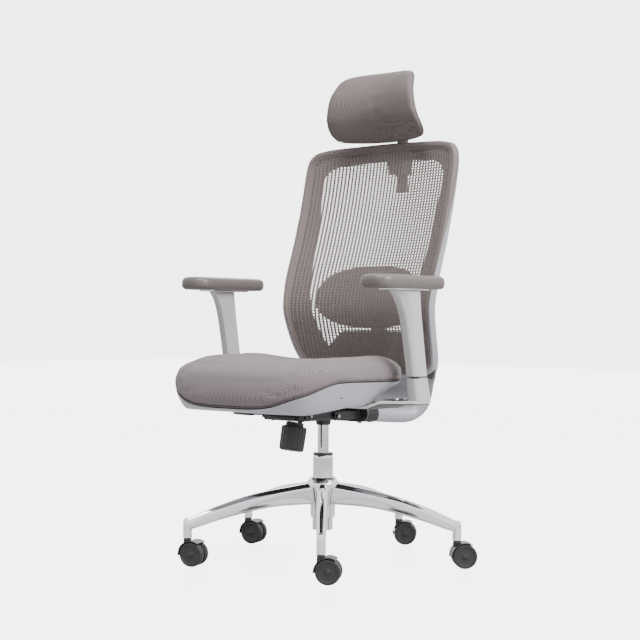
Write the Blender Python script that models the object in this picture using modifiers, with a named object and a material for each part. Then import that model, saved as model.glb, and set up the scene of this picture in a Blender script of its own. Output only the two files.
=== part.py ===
"""High-back mesh task chair with headrest, adjustable arms and a five-star base on casters.

Metres, +Z up. The sitter faces -Y and the sitter's left hand is at +X. The floor is z = 0.
The gas column stands COLUMN_Y behind the middle of the chair's outline, so that the origin
is the bottom centre of the whole chair. Everything below is written in the column's frame
(column axis at x = 0, y = 0) and hangs from one empty that makes that shift.
"""
import math
from math import cos, pi, radians, sin

import bmesh
import bpy
from mathutils import Matrix, Vector

# ---------------------------------------------------------------- driving dimensions
GAP = 0.0003               # between pieces that touch
FIT = 0.0005               # running clearance round shafts, rods and slides

COLUMN_X = -0.0075
COLUMN_Y = -0.0141         # column axis from the middle of the outline

# base and casters
BASE_RADIUS = 0.345        # column axis to caster stem
LEG_AZIMUTH = 39.3         # first leg, measured from -Y towards +X
LEGS = 5
HUB_RADIUS = 0.0305
HUB_SHOULDER = 0.040
HUB_TOP = 0.208
HUB_BOTTOM = 0.108
SOCKET_RADIUS = 0.0108
SOCKET_BOTTOM = 0.0675
WHEEL_RADIUS = 0.030
WHEEL_WIDTH = 0.0165
WEB_THICKNESS = 0.009      # caster body between the twin wheels
CASTER_TRAIL = 0.018
STEM_RADIUS = 0.0055
AXLE_RADIUS = 0.003
CASTER_HEADINGS = (31.8, 44.8, 34.8, 14.8, 17.8)   # trail direction of each caster from +X

# gas lift
TUBE_RADIUS = 0.025        # outer column tube
TUBE_WALL = 0.0018
TUBE_BOTTOM = 0.077
TUBE_TOP = 0.263
LIFT_RADIUS = 0.014        # pressure tube
LIFT_BOTTOM = 0.165
LIFT_TOP = 0.372
ROD_RADIUS = 0.005
RELEASE_RADIUS = 0.004
RELEASE_HEIGHT = 0.004     # release pin above the pressure tube

# mechanism
HOUSING_BOTTOM = 0.3555
HOUSING_HEIGHT = 0.0245
HOUSING_HALF = 0.065
HOUSING_FRONT = -0.155
HOUSING_REAR = 0.030
SHEET = 0.003              # steel sheet of the mechanism
COLLAR_DROP = 0.0165       # tapered collar below the housing
RECLINE_Y, RECLINE_Z = -0.030, 0.3645
RECLINE_RADIUS = 0.005
TILT_Y, TILT_Z = -0.135, 0.3690
TILT_RADIUS = 0.004
EAR_IN = HOUSING_HALF + 0.003      # ears and yoke arms run outside the housing walls
EAR_OUT = EAR_IN + 0.004
LOCK_Y, LOCK_Z = -0.085, 0.3680    # tilt lever's own axis
LEVER_RADIUS = 0.0032
KNOB_Y = -0.107            # where the knob's axis meets the housing floor
KNOB_LEAN = 11.6           # knob's lower end leans forward
KNOB_RADIUS = 0.0312
KNOB_LENGTH = 0.060
SPRING_RADIUS = 0.0155
SPRING_WIRE = 0.0020

# seat
SEAT_HALF = 0.250
SEAT_MIDDLE = -0.120       # y of the widest line
SEAT_FRONT = 0.240         # ahead of the middle
SEAT_REAR = 0.205          # behind the middle
PAN_FLOOR = 0.4072         # underside of the pan's floor
PAN_WALL = 0.0035
BOARD_THICKNESS = 0.012

# back
BACK_HALF = 0.2445
RIM_WIDTH = 0.012          # outer rim seen from the front
RIM_DEPTH = 0.026
BAND_DEPTH = 0.008         # inner frame that carries the mesh
BAND_MIDDLE = -0.002       # its middle, behind the back's middle surface
MESH_THICKNESS = 0.0016
BACK_HOLLOW = 0.046        # the middle lies this far behind the side rails
BACK_ARM_START = 0.060     # front end of the lower back arm, on the steel yoke
BACK_ARM_TOP = 0.389
SPINE_HALF = 0.024
SPINE_THICKNESS = 0.010
SPINE_FOOT = Vector((0.0, 0.2365, 0.480))
SPINE_HEAD = Vector((0.0, 0.2130, 0.670))
LUMBAR_CLEAR = 0.006       # pad behind the back's middle surface

# arms
ARM_X = 0.300
PAD_X = 0.292
PAD_Y = -0.060
PAD_LENGTH = 0.260
PAD_WIDTH = 0.088
PAD_BOTTOM = 0.6755
PAD_HEIGHT = 0.0335
ARM_SPLIT = 0.4675         # sleeve above, bracket socket below
ARM_TOP = 0.6720
ARM_FOOT_Y, ARM_FOOT_Z = -0.0035, 0.4072    # point on the arm's middle line
ARM_LEAN = -0.185          # y per metre of height
POST_HALF_X = 0.0085
POST_HALF_Y = 0.0165

# headrest
POST_Y = 0.322
HEAD_POST_HALF = 0.0165
HEAD_POST_THICKNESS = 0.009
HEAD_PIVOT_Y, HEAD_PIVOT_Z = 0.292, 1.155
BARREL_RADIUS = 0.008
HEAD_HALF = 0.161
HEAD_HOLLOW = 0.058
HEAD_LOW = 1.071

# ---------------------------------------------------------------- scene and materials
for old in list(bpy.data.objects):
    bpy.data.objects.remove(old)

PARTS = bpy.data.collections.new("task_chair")
TOOLS = bpy.data.collections.new("cutters")
for group in (PARTS, TOOLS):
    bpy.context.scene.collection.children.link(group)

ROOT = bpy.data.objects.new("chair_frame", None)
ROOT.location = (COLUMN_X, COLUMN_Y, 0.0)
PARTS.objects.link(ROOT)


def material(name, colour, roughness, metallic=0.0):
    made = bpy.data.materials.new(name)
    made.use_nodes = True
    shader = made.node_tree.nodes["Principled BSDF"]
    shader.inputs["Base Color"].default_value = (*colour, 1.0)
    shader.inputs["Roughness"].default_value = roughness
    shader.inputs["Metallic"].default_value = metallic
    return made


POLISHED = material("polished_aluminium", (0.80, 0.80, 0.81), 0.14, 1.0)
CHROME = material("chromed_steel", (0.75, 0.75, 0.76), 0.10, 1.0)
STEEL = material("plain_steel", (0.35, 0.35, 0.36), 0.35, 1.0)
BLACK = material("black_nylon", (0.020, 0.020, 0.022), 0.45)
PAINTED = material("black_painted_steel", (0.025, 0.025, 0.028), 0.40, 0.3)
TREAD = material("grey_tread", (0.11, 0.11, 0.11), 0.60)
SHELL = material("light_grey_plastic", (0.56, 0.56, 0.58), 0.38)
BAND = material("taupe_plastic", (0.10, 0.09, 0.088), 0.50)
MESH = material("taupe_mesh", (0.22, 0.19, 0.18), 0.80)
FABRIC = material("grey_knit", (0.33, 0.29, 0.29), 0.90)
PAD = material("taupe_urethane", (0.17, 0.15, 0.145), 0.55)
WOOD = material("moulded_plywood", (0.45, 0.30, 0.17), 0.60)


# ---------------------------------------------------------------- modelling helpers
def place(obj, collection):
    collection.objects.link(obj)
    obj.parent = ROOT
    return obj


def tool(obj):
    """Keep a cutter or a joined-on shape out of the chair's own pieces."""
    obj.hide_render = True
    obj.display_type = 'WIRE'
    return place(obj, TOOLS)


def finish_mesh(name, bm):
    bmesh.ops.recalc_face_normals(bm, faces=bm.faces)
    mesh = bpy.data.meshes.new(name)
    bm.to_mesh(mesh)
    bm.free()
    return bpy.data.objects.new(name, mesh)


def box(name, low, high, bevel=0.0, segments=2):
    """Box between two corners, with rounded edges when a bevel is given."""
    bm = bmesh.new()
    middle = [(a + b) / 2 for a, b in zip(low, high)]
    size = [b - a for a, b in zip(low, high)]
    bmesh.ops.create_cube(bm, size=1.0, matrix=Matrix.Translation(middle) @ Matrix.Diagonal((*size, 1.0)))
    obj = finish_mesh(name, bm)
    if bevel:
        add_bevel(obj, bevel, segments)
    return obj


def add_bevel(obj, width, segments=2, angle=30.0):
    bevel = obj.modifiers.new("edges", 'BEVEL')
    bevel.width = width
    bevel.segments = segments
    bevel.limit_method = 'ANGLE'
    bevel.angle_limit = radians(angle)
    return obj


def rod(name, radius, start, end, sides=20, end_radius=None):
    """Solid round bar or cone between two points."""
    start, end = Vector(start), Vector(end)
    run = end - start
    bm = bmesh.new()
    turn = run.to_track_quat('Z', 'Y').to_matrix().to_4x4()
    bmesh.ops.create_cone(bm, cap_ends=True, segments=sides, radius1=radius,
                          radius2=radius if end_radius is None else end_radius, depth=run.length,
                          matrix=Matrix.Translation((start + end) / 2) @ turn)
    return finish_mesh(name, bm)


def turned(name, profile, sides=32, closed=True):
    """Turn an (r, z) outline about Z. It runs down the outer side; closed outlines leave a bore."""
    bm = bmesh.new()
    verts = [bm.verts.new((r, 0.0, z)) for r, z in profile]
    pairs = list(zip(verts, verts[1:]))
    if closed:
        pairs.append((verts[-1], verts[0]))
    for a, b in pairs:
        bm.edges.new((a, b))
    mesh = bpy.data.meshes.new(name)
    bm.to_mesh(mesh)
    bm.free()
    obj = bpy.data.objects.new(name, mesh)
    screw = obj.modifiers.new("turn", 'SCREW')
    screw.steps = sides
    screw.render_steps = sides
    screw.use_merge_vertices = True
    screw.merge_threshold = 0.00001
    screw.use_smooth_shade = True
    return obj


def loft(name, rings, loop=False, tips=None):
    """Skin through rings with equal point counts.

    The ends are capped flat, fanned to two tip points, or joined when loop is set.
    """
    bm = bmesh.new()
    rows = [[bm.verts.new(point) for point in ring] for ring in rings]
    spans = list(zip(rows, rows[1:]))
    if loop:
        spans.append((rows[-1], rows[0]))
    for a, b in spans:
        for i in range(len(a)):
            j = (i + 1) % len(a)
            bm.faces.new((a[i], a[j], b[j], b[i]))
    if tips:
        for row, tip in ((rows[0], tips[0]), (rows[-1], tips[1])):
            centre = bm.verts.new(tip)
            for i in range(len(row)):
                bm.faces.new((row[i], row[(i + 1) % len(row)], centre))
    elif not loop:
        bm.faces.new(rows[0])
        bm.faces.new(rows[-1])
    return finish_mesh(name, bm)


def boolean(target, other, operation):
    """Cut or join with a live Boolean; the other shape goes with the cutters."""
    if other.name not in TOOLS.objects:
        tool(other)
    step = target.modifiers.new(other.name, 'BOOLEAN')
    step.operation = operation
    step.solver = 'EXACT'
    step.object = other
    return target


def cut(target, *others):
    for other in others:
        boolean(target, other, 'DIFFERENCE')
    return target


def join(target, *others):
    for other in others:
        boolean(target, other, 'UNION')
    return target


def bake(obj):
    """Mesh of a finished shape, with the modifiers applied, for pieces that repeat."""
    place(obj, TOOLS)
    bpy.context.view_layer.update()
    mesh = bpy.data.meshes.new_from_object(obj.evaluated_get(bpy.context.evaluated_depsgraph_get()))
    mesh.name = obj.name
    used = [step.object for step in obj.modifiers if step.type == 'BOOLEAN']
    bpy.data.objects.remove(obj)
    for other in used:
        bpy.data.objects.remove(other)
    return mesh


def wire(name, points, radius, resolution):
    """Round wire through points, as a closed mesh object."""
    curve = bpy.data.curves.new(name, 'CURVE')
    curve.dimensions = '3D'
    curve.bevel_depth = radius
    curve.bevel_resolution = resolution
    curve.use_fill_caps = True
    spline = curve.splines.new('POLY')
    spline.points.add(len(points) - 1)
    for point, co in zip(spline.points, points):
        point.co = (*co, 1.0)
    mesh = bake(bpy.data.objects.new(name, curve))
    bm = bmesh.new()
    bm.from_mesh(mesh)
    bmesh.ops.remove_doubles(bm, verts=bm.verts, dist=0.00001)
    bm.to_mesh(mesh)
    bm.free()
    return bpy.data.objects.new(name, mesh)


def part(name, shape, colour, pivot=(0.0, 0.0, 0.0), smooth=35.0):
    """Add a chair piece with its origin at its pivot. shape is an object or a baked mesh."""
    if isinstance(shape, bpy.types.Mesh):
        shape = bpy.data.objects.new(name, shape)
        shape.location = pivot
    else:
        shape.name = name
        shape.data.transform(Matrix.Translation(-Vector(pivot)))
        shape.location = pivot
    if not shape.data.materials:
        shape.data.materials.append(colour)
    shape.data.shade_smooth()
    shape.data.set_sharp_from_angle(angle=radians(smooth))
    return place(shape, PARTS)


def through(knots, x):
    """Smooth curve through (x, value...) knots, read at x."""
    last = len(knots) - 2
    i = max(k for k in range(last + 1) if k == 0 or x >= knots[k][0])
    a, b = knots[i], knots[i + 1]
    span = b[0] - a[0]
    t = min(max((x - a[0]) / span, 0.0), 1.0)

    def slope(k, c):
        low, high = max(k - 1, 0), min(k + 1, len(knots) - 1)
        return (knots[high][c] - knots[low][c]) / (knots[high][0] - knots[low][0])

    values = []
    for c in range(1, len(a)):
        m0, m1 = slope(i, c) * span, slope(i + 1, c) * span
        h = (2 * t**3 - 3 * t**2 + 1, t**3 - 2 * t**2 + t, 3 * t**2 - 2 * t**3, t**3 - t**2)
        values.append(h[0] * a[c] + h[1] * m0 + h[2] * b[c] + h[3] * m1)
    return values[0] if len(values) == 1 else values


def rounded(half_a, half_b, radius, steps=2):
    """Rounded rectangle as a loop of (a, b) points; steps of 0 leave the corners square."""
    if steps == 0:
        return [(half_a, half_b), (-half_a, half_b), (-half_a, -half_b), (half_a, -half_b)]
    points = []
    for quarter, (sa, sb) in enumerate(((1, 1), (-1, 1), (-1, -1), (1, -1))):
        for k in range(steps + 1):
            angle = (quarter + k / steps) * pi / 2
            points.append((sa * (half_a - radius) + radius * cos(angle),
                           sb * (half_b - radius) + radius * sin(angle)))
    return points


def mirrored(half):
    """Closed outline from its +x half, which starts and ends on x = 0 at the top and the bottom."""
    return half + [(-x, z) for x, z in reversed(half[1:-1])]


def smooth_outline(points, per_span):
    """Closed smooth curve through a loop of 2D points (Catmull-Rom)."""
    n = len(points)
    curve = []
    for i in range(n):
        p = [Vector(points[(i + k) % n]) for k in (-1, 0, 1, 2)]
        for s in range(per_span):
            t = s / per_span
            curve.append(0.5 * ((2 * p[1]) + (p[2] - p[0]) * t
                                + (2 * p[0] - 5 * p[1] + 4 * p[2] - p[3]) * t**2
                                + (3 * p[1] - p[0] - 3 * p[2] + p[3]) * t**3))
    return curve


def inset(outline, distance):
    """Move every point of a clockwise or anticlockwise loop inwards by one distance."""
    n = len(outline)
    area = sum(outline[i].x * outline[(i + 1) % n].y - outline[(i + 1) % n].x * outline[i].y
               for i in range(n))
    side = 1.0 if area > 0 else -1.0
    moved = []
    for i in range(n):
        along = (outline[(i + 1) % n] - outline[i - 1]).normalized()
        moved.append(outline[i] + side * distance * Vector((-along.y, along.x)))
    return moved


def pillow(name, outline, layers, to_point):
    """Soft solid: the outline scaled about the middle, layer by layer, and capped."""
    middle = sum(outline, Vector((0.0, 0.0))) / len(outline)
    rings = []
    for scale, depth in layers:
        rings.append([to_point(*(middle + (p - middle) * scale), depth) for p in outline])
    tips = [to_point(*middle, layers[k][1]) for k in (0, -1)]
    return loft(name, rings, tips=tips)


# ---------------------------------------------------------------- five-star base
LEG_TOP = ((0.020, 0.1945), (0.040, 0.193), (0.120, 0.181), (0.195, 0.166), (0.270, 0.1435),
           (0.320, 0.1240), (0.345, 0.1140))
LEG_UNDERSIDE = ((0.020, 0.141), (0.040, 0.141), (0.120, 0.138), (0.195, 0.126), (0.270, 0.108),
                 (0.320, 0.0930), (0.345, 0.0870))
LEG_WIDTH = ((0.020, 0.036), (0.080, 0.033), (0.195, 0.027), (0.300, 0.0235), (0.345, 0.0206))


def leg_section(r):
    top, under, half = through(LEG_TOP, r), through(LEG_UNDERSIDE, r), through(LEG_WIDTH, r) / 2
    shoulder = top - 0.009
    outline = ((-half * 0.30, top), (half * 0.30, top), (half, shoulder), (half, under + 0.003),
               (half - 0.003, under), (-half + 0.003, under), (-half, under + 0.003), (-half, shoulder))
    return [(a, -r, z) for a, z in outline]


def make_base():
    stations = [0.020, 0.060, 0.115, 0.170, 0.225, 0.270, 0.310, BASE_RADIUS]
    leg = loft("leg", [leg_section(r) for r in stations])
    tip_top = through(LEG_TOP, BASE_RADIUS)
    socket = turned("leg_socket", [(0.0, tip_top + 0.002), (0.006, tip_top + 0.0015),
                                   (SOCKET_RADIUS, tip_top - 0.004), (SOCKET_RADIUS, SOCKET_BOTTOM),
                                   (0.0, SOCKET_BOTTOM)], 16, closed=False)
    socket.location.y = -BASE_RADIUS
    bore = rod("stem_bore", STEM_RADIUS + FIT, (0, -BASE_RADIUS, SOCKET_BOTTOM - 0.01),
               (0, -BASE_RADIUS, tip_top - 0.010), 12)
    cut(join(leg, socket), bore)
    leg_mesh = bake(leg)

    bore_radius = TUBE_RADIUS + GAP
    hub = turned("hub", [(0.0, HUB_TOP), (HUB_RADIUS, HUB_TOP), (HUB_SHOULDER, HUB_TOP - 0.014),
                         (HUB_SHOULDER, HUB_TOP - 0.024), (HUB_RADIUS, HUB_TOP - 0.066),
                         (HUB_RADIUS, HUB_BOTTOM), (0.0, HUB_BOTTOM)], 28, closed=False)
    for k in range(LEGS):
        arm = bpy.data.objects.new("leg_%d" % (k + 1), leg_mesh)
        arm.rotation_euler.z = radians(LEG_AZIMUTH + k * 360 / LEGS)
        join(hub, arm)
    cut(hub, rod("column_bore", bore_radius, (0, 0, HUB_BOTTOM - 0.01), (0, 0, HUB_TOP + 0.01), 28))
    part("base_star", hub, POLISHED)


# ---------------------------------------------------------------- casters
def caster_body():
    """Web between the wheels, mudguard over them, boss and stem; the trail runs along +X."""
    inner, outer = WHEEL_RADIUS + 0.0013, WHEEL_RADIUS + 0.0036
    guard_half = WEB_THICKNESS / 2 + WHEEL_WIDTH + 0.0005

    def arc(radius, angle):
        return (CASTER_TRAIL + radius * cos(radians(angle)), WHEEL_RADIUS + radius * sin(radians(angle)))

    angles = [62 + k * 21.3 for k in range(7)]
    outline = [arc(outer, a) for a in angles] + [arc(inner, a) for a in reversed(angles)]
    guard = loft("guard", [[(x, y, z) for x, z in outline] for y in (-guard_half, guard_half)])
    web = rod("web", WHEEL_RADIUS - 0.004, (CASTER_TRAIL, -WEB_THICKNESS / 2, WHEEL_RADIUS),
              (CASTER_TRAIL, WEB_THICKNESS / 2, WHEEL_RADIUS), 16)
    rib = box("rib", (-0.010, -WEB_THICKNESS / 2 + 0.0002, 0.016),
              (CASTER_TRAIL, WEB_THICKNESS / 2 - 0.0002, WHEEL_RADIUS + inner + 0.0008))
    boss = rod("boss", 0.0095, (0, 0, 0.0603), (0, 0, SOCKET_BOTTOM - GAP), 14)
    stem = rod("stem", STEM_RADIUS, (0, 0, 0.062), (0, 0, 0.100), 12)
    hole = rod("axle_hole", AXLE_RADIUS + GAP, (CASTER_TRAIL, -0.02, WHEEL_RADIUS),
               (CASTER_TRAIL, 0.02, WHEEL_RADIUS), 12)
    return bake(cut(join(guard, web, rib, boss, stem), hole))


def caster_wheel():
    """Wheel about its own axle along Z, outer face at the top, with a shallow dished face."""
    r, w = WHEEL_RADIUS, WHEEL_WIDTH
    bore = AXLE_RADIUS + GAP
    wheel = turned("wheel", [(r - 0.0045, w / 2), (r - 0.0018, w / 2), (r, w / 2 - 0.0018),
                             (r, -w / 2 + 0.0018), (r - 0.0018, -w / 2), (bore, -w / 2),
                             (bore, w / 2 - 0.0015)], 20)
    return bake(wheel)


def make_casters():
    body = caster_body()
    wheel = caster_wheel()
    reach = WEB_THICKNESS / 2 + WHEEL_WIDTH
    axle = bake(rod("axle", AXLE_RADIUS, (0, -reach + 0.001, 0), (0, reach - 0.001, 0), 12))
    for k in range(LEGS):
        turn = radians(LEG_AZIMUTH + k * 360 / LEGS)
        stem = Vector((BASE_RADIUS * sin(turn), -BASE_RADIUS * cos(turn), 0.0))
        heading = radians(CASTER_HEADINGS[k])
        spin = Matrix.Rotation(heading, 4, 'Z')
        hub = stem + spin @ Vector((CASTER_TRAIL, 0.0, WHEEL_RADIUS))
        label = "caster_%d" % (k + 1)
        part(label + "_body", body, BLACK, stem).rotation_euler.z = heading
        part(label + "_axle", axle, STEEL, hub).rotation_euler.z = heading
        for side, tag in ((-1, "a"), (1, "b")):
            offset = side * (WEB_THICKNESS / 2 + GAP + WHEEL_WIDTH / 2)
            obj = part(label + "_wheel_" + tag, wheel, TREAD, hub + spin @ Vector((0.0, offset, 0.0)))
            obj.rotation_euler = (radians(-90 * side), 0.0, heading)


# ---------------------------------------------------------------- gas lift
def make_gas_lift():
    inside = TUBE_RADIUS - TUBE_WALL
    plate = 0.003
    part("column_tube", turned("column_tube", [
        (TUBE_RADIUS, TUBE_TOP), (TUBE_RADIUS, TUBE_BOTTOM), (ROD_RADIUS + FIT, TUBE_BOTTOM),
        (ROD_RADIUS + FIT, TUBE_BOTTOM + plate), (inside, TUBE_BOTTOM + plate), (inside, TUBE_TOP)], 28),
         CHROME)

    bush_bottom, flange = TUBE_TOP + GAP, 0.006
    part("guide_bush", turned("guide_bush", [
        (TUBE_RADIUS, bush_bottom + flange - 0.0015), (TUBE_RADIUS, bush_bottom), (inside - GAP, bush_bottom),
        (inside - GAP, bush_bottom - 0.028), (LIFT_RADIUS + FIT, bush_bottom - 0.028),
        (LIFT_RADIUS + FIT, bush_bottom + flange), (TUBE_RADIUS - 0.002, bush_bottom + flange)], 28), BLACK)

    bearing_bottom = TUBE_BOTTOM + plate + GAP
    part("thrust_bearing", turned("thrust_bearing", [
        (0.0180, bearing_bottom + 0.008), (0.0180, bearing_bottom), (ROD_RADIUS + FIT, bearing_bottom),
        (ROD_RADIUS + FIT, bearing_bottom + 0.008)], 20), STEEL)

    shoulder = bearing_bottom + 0.008 + GAP
    piston = 0.235
    part("piston_rod", turned("piston_rod", [
        (0.0, piston + 0.010), (0.0080, piston + 0.010), (0.0080, piston), (ROD_RADIUS, piston),
        (ROD_RADIUS, shoulder + 0.004), (0.0090, shoulder + 0.004), (0.0090, shoulder), (ROD_RADIUS, shoulder),
        (ROD_RADIUS, TUBE_BOTTOM - 0.006), (0.0, TUBE_BOTTOM - 0.006)], 16, closed=False), STEEL)

    pin_bore = RELEASE_RADIUS + GAP
    part("pressure_tube", turned("pressure_tube", [
        (0.0, LIFT_TOP - 0.010), (pin_bore, LIFT_TOP - 0.010), (pin_bore, LIFT_TOP), (0.0125, LIFT_TOP),
        (LIFT_RADIUS, LIFT_TOP - 0.030), (LIFT_RADIUS, LIFT_BOTTOM),
        (ROD_RADIUS + FIT, LIFT_BOTTOM), (ROD_RADIUS + FIT, LIFT_BOTTOM + 0.005),
        (0.0085, LIFT_BOTTOM + 0.005), (0.0085, LIFT_TOP - 0.050), (0.0, LIFT_TOP - 0.050),
    ], 24, closed=False), CHROME)
    part("release_pin", rod("release_pin", RELEASE_RADIUS, (0, 0, LIFT_TOP - 0.005),
                            (0, 0, LIFT_TOP + RELEASE_HEIGHT), 16), STEEL)


# ---------------------------------------------------------------- tilt mechanism
def make_mechanism():
    top = HOUSING_BOTTOM + HOUSING_HEIGHT
    half, front, rear = HOUSING_HALF, HOUSING_FRONT, HOUSING_REAR
    housing = box("mechanism_housing", (-half, front, HOUSING_BOTTOM), (half, rear, top), 0.004, 1)
    room = box("housing_room", (-half + SHEET, front + SHEET, HOUSING_BOTTOM + SHEET),
               (half - SHEET, rear - SHEET, top + 0.02))
    collar = rod("collar", 0.0165, (0, 0, HOUSING_BOTTOM - COLLAR_DROP), (0, 0, LIFT_TOP - 0.0005), 24)
    collar_bore = turned("collar_bore", [
        (0.0, LIFT_TOP + 0.02), (0.0125 + GAP, LIFT_TOP + 0.02), (0.0125 + GAP, LIFT_TOP + 0.001),
        (LIFT_RADIUS + GAP, LIFT_TOP - 0.030), (LIFT_RADIUS + GAP, HOUSING_BOTTOM - COLLAR_DROP - 0.01),
        (0.0, HOUSING_BOTTOM - COLLAR_DROP - 0.01)], 24, closed=False)
    knob_hole = rod("knob_hole", SPRING_RADIUS + 0.004, (0, KNOB_Y - 0.002, HOUSING_BOTTOM - 0.01),
                    (0, KNOB_Y + 0.002, HOUSING_BOTTOM + SHEET + 0.008), 20)
    shaft_hole = rod("recline_hole", RECLINE_RADIUS + GAP, (-0.09, RECLINE_Y, RECLINE_Z),
                     (0.09, RECLINE_Y, RECLINE_Z), 16)
    pin_hole = rod("tilt_hole", TILT_RADIUS + GAP, (-0.09, TILT_Y, TILT_Z), (0.09, TILT_Y, TILT_Z), 16)
    notch = box("lever_notch", (-half - 0.01, -0.006, top - 0.0055), (-half + 0.01, 0.006, top + 0.01))
    lock_hole = rod("lock_hole", LEVER_RADIUS + GAP, (-half - 0.01, LOCK_Y, LOCK_Z),
                    (-half + 0.01, LOCK_Y, LOCK_Z), 16)
    cut(housing, room)
    join(housing, collar)
    cut(housing, collar_bore, knob_hole, shaft_hole, pin_hole, notch, lock_hole)
    part("mechanism_housing", housing, PAINTED)

    reach = HOUSING_HALF + 0.011
    part("recline_shaft", rod("recline_shaft", RECLINE_RADIUS, (-reach, RECLINE_Y, RECLINE_Z),
                              (reach, RECLINE_Y, RECLINE_Z)), STEEL, (0, RECLINE_Y, RECLINE_Z))
    part("seat_pivot_pin", rod("seat_pivot_pin", TILT_RADIUS, (-reach, TILT_Y, TILT_Z),
                               (reach, TILT_Y, TILT_Z)), STEEL, (0, TILT_Y, TILT_Z))


def knob_matrix():
    return Matrix.Translation((0, KNOB_Y, HOUSING_BOTTOM)) @ Matrix.Rotation(radians(-KNOB_LEAN), 4, 'X')


def make_tension_knob():
    """Ribbed hand knob moulded on its screw; the spring sits in its cup."""
    neck_top, shoulder, bottom = -0.0065, -0.016, -0.016 - KNOB_LENGTH
    cup = SPRING_RADIUS + SPRING_WIRE + 0.0015
    screw = 0.005
    part("tension_knob", turned("tension_knob", [
        (0.0, 0.020), (screw, 0.020), (screw, bottom + 0.012), (cup, bottom + 0.012), (cup, neck_top),
        (cup + 0.0035, neck_top), (cup + 0.0035, shoulder + 0.002), (KNOB_RADIUS - 0.003, shoulder),
        (KNOB_RADIUS, shoulder - 0.003), (KNOB_RADIUS - 0.0015, bottom + 0.003),
        (KNOB_RADIUS - 0.0045, bottom), (0.0, bottom)], 28, closed=False), BLACK).matrix_local = knob_matrix()

    turns, per_turn = 4, 10
    low, high = bottom + 0.0125 + SPRING_WIRE, 0.012
    count = turns * per_turn
    coil = []
    for i in range(count + 1):
        angle = 2 * pi * i / per_turn
        coil.append((SPRING_RADIUS * cos(angle), SPRING_RADIUS * sin(angle), low + (high - low) * i / count))
    part("tension_spring", wire("tension_spring", coil, SPRING_WIRE, 2), STEEL).matrix_local = knob_matrix()


def make_levers():
    """Height lever: a bent rod through the side wall, with its inner end over the release pin."""
    z = LIFT_TOP + RELEASE_HEIGHT + GAP + LEVER_RADIUS
    pivot = (-HOUSING_HALF + 0.002, 0.0, z)

    drop = 0.018
    height = wire("height_lever", [(0.004, 0, z), (-0.080, 0, z), (-0.094, 0, z - 0.005), (-0.108, 0, z - drop),
                                   (-0.150, 0, z - drop - 0.002)], LEVER_RADIUS, 3)
    paddle = box("height_paddle", (-0.236, -0.014, z - drop - 0.0055),
                 (-0.140, 0.014, z - drop + 0.0015), 0.0022)
    part("height_lever", join(height, paddle), BLACK, pivot)

    lock = wire("tilt_lever", [(-HOUSING_HALF + 0.008, LOCK_Y, LOCK_Z), (-0.090, LOCK_Y, LOCK_Z),
                               (-0.105, LOCK_Y - 0.004, LOCK_Z - 0.004),
                               (-0.160, LOCK_Y - 0.010, LOCK_Z - 0.006)], LEVER_RADIUS, 3)
    grip = box("tilt_grip", (-0.220, LOCK_Y - 0.022, LOCK_Z - 0.0095),
               (-0.150, LOCK_Y + 0.002, LOCK_Z - 0.0025), 0.0022)
    part("tilt_lever", join(lock, grip), BLACK, (0.0, LOCK_Y, LOCK_Z))


def make_brackets():
    """Steel yoke of the back, and the plate that carries the seat pan."""
    yoke_top = BACK_ARM_TOP + GAP
    bracket = box("back_bracket", (-EAR_OUT, BACK_ARM_START - 0.008, yoke_top),
                  (EAR_OUT, BACK_ARM_START + 0.085, yoke_top + 0.004))
    for side in (-1, 1):
        inner, outer = sorted((side * EAR_IN, side * EAR_OUT))
        join(bracket,
             box("yoke_arm_%d" % side, (inner, -0.042, 0.354), (outer, BACK_ARM_START - FIT, 0.3745)),
             box("yoke_rise_%d" % side, (inner, BACK_ARM_START - 0.014, 0.356),
                 (outer, BACK_ARM_START - FIT, yoke_top + 0.003)))
    cut(bracket, rod("yoke_hole", RECLINE_RADIUS + GAP, (-0.09, RECLINE_Y, RECLINE_Z),
                     (0.09, RECLINE_Y, RECLINE_Z), 20))
    part("back_bracket", bracket, PAINTED, (0, RECLINE_Y, RECLINE_Z))

    top = PAN_FLOOR - GAP
    carrier = box("seat_carrier", (-0.105, -0.190, top - 0.004), (0.105, -0.020, top))
    for side in (-1, 1):
        inner, outer = sorted((side * EAR_IN, side * EAR_OUT))
        join(carrier, box("ear_%d" % side, (inner, -0.150, 0.3605), (outer, -0.120, top - 0.002)))
    cut(carrier, rod("ear_hole", TILT_RADIUS + GAP, (-0.09, TILT_Y, TILT_Z), (0.09, TILT_Y, TILT_Z), 20))
    part("seat_carrier", carrier, PAINTED, (0, TILT_Y, TILT_Z))


# ---------------------------------------------------------------- seat
RIM_LINE = ((-0.362, 0.389), (-0.358, 0.3965), (-0.343, 0.4150), (-0.310, 0.4310), (-0.270, 0.4460),
            (-0.225, 0.4550), (-0.100, 0.4550), (0.090, 0.4540))
SKIRT_LINE = ((-0.362, 0.3775), (-0.310, 0.3810), (-0.250, 0.3890), (-0.150, 0.3985), (-0.105, 0.4000),
              (-0.045, 0.4230), (-0.005, 0.4370), (0.090, 0.4400))
TOP_LINE = ((-0.362, 0.470), (-0.330, 0.487), (-0.290, 0.499), (-0.230, 0.509), (-0.160, 0.5135),
            (-0.060, 0.5130), (0.030, 0.5045), (0.090, 0.492))


def seat_outline(count=36, exponent=4.0):
    """Superellipse plan, longer ahead of its widest line than behind it."""
    loop = []
    for k in range(count):
        angle = 2 * pi * k / count
        c, s = cos(angle), sin(angle)
        reach = SEAT_REAR if s > 0 else SEAT_FRONT
        loop.append(Vector((SEAT_HALF * math.copysign(abs(c) ** (2 / exponent), c),
                            SEAT_MIDDLE + reach * math.copysign(abs(s) ** (2 / exponent), s))))
    return loop


def seat_ring(outline, margin, height):
    """Ring at a distance inside the outline, its z given by a function of the rim point's y."""
    return [(q.x, q.y, height(p.y)) for p, q in zip(outline, inset(outline, margin))]


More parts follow.
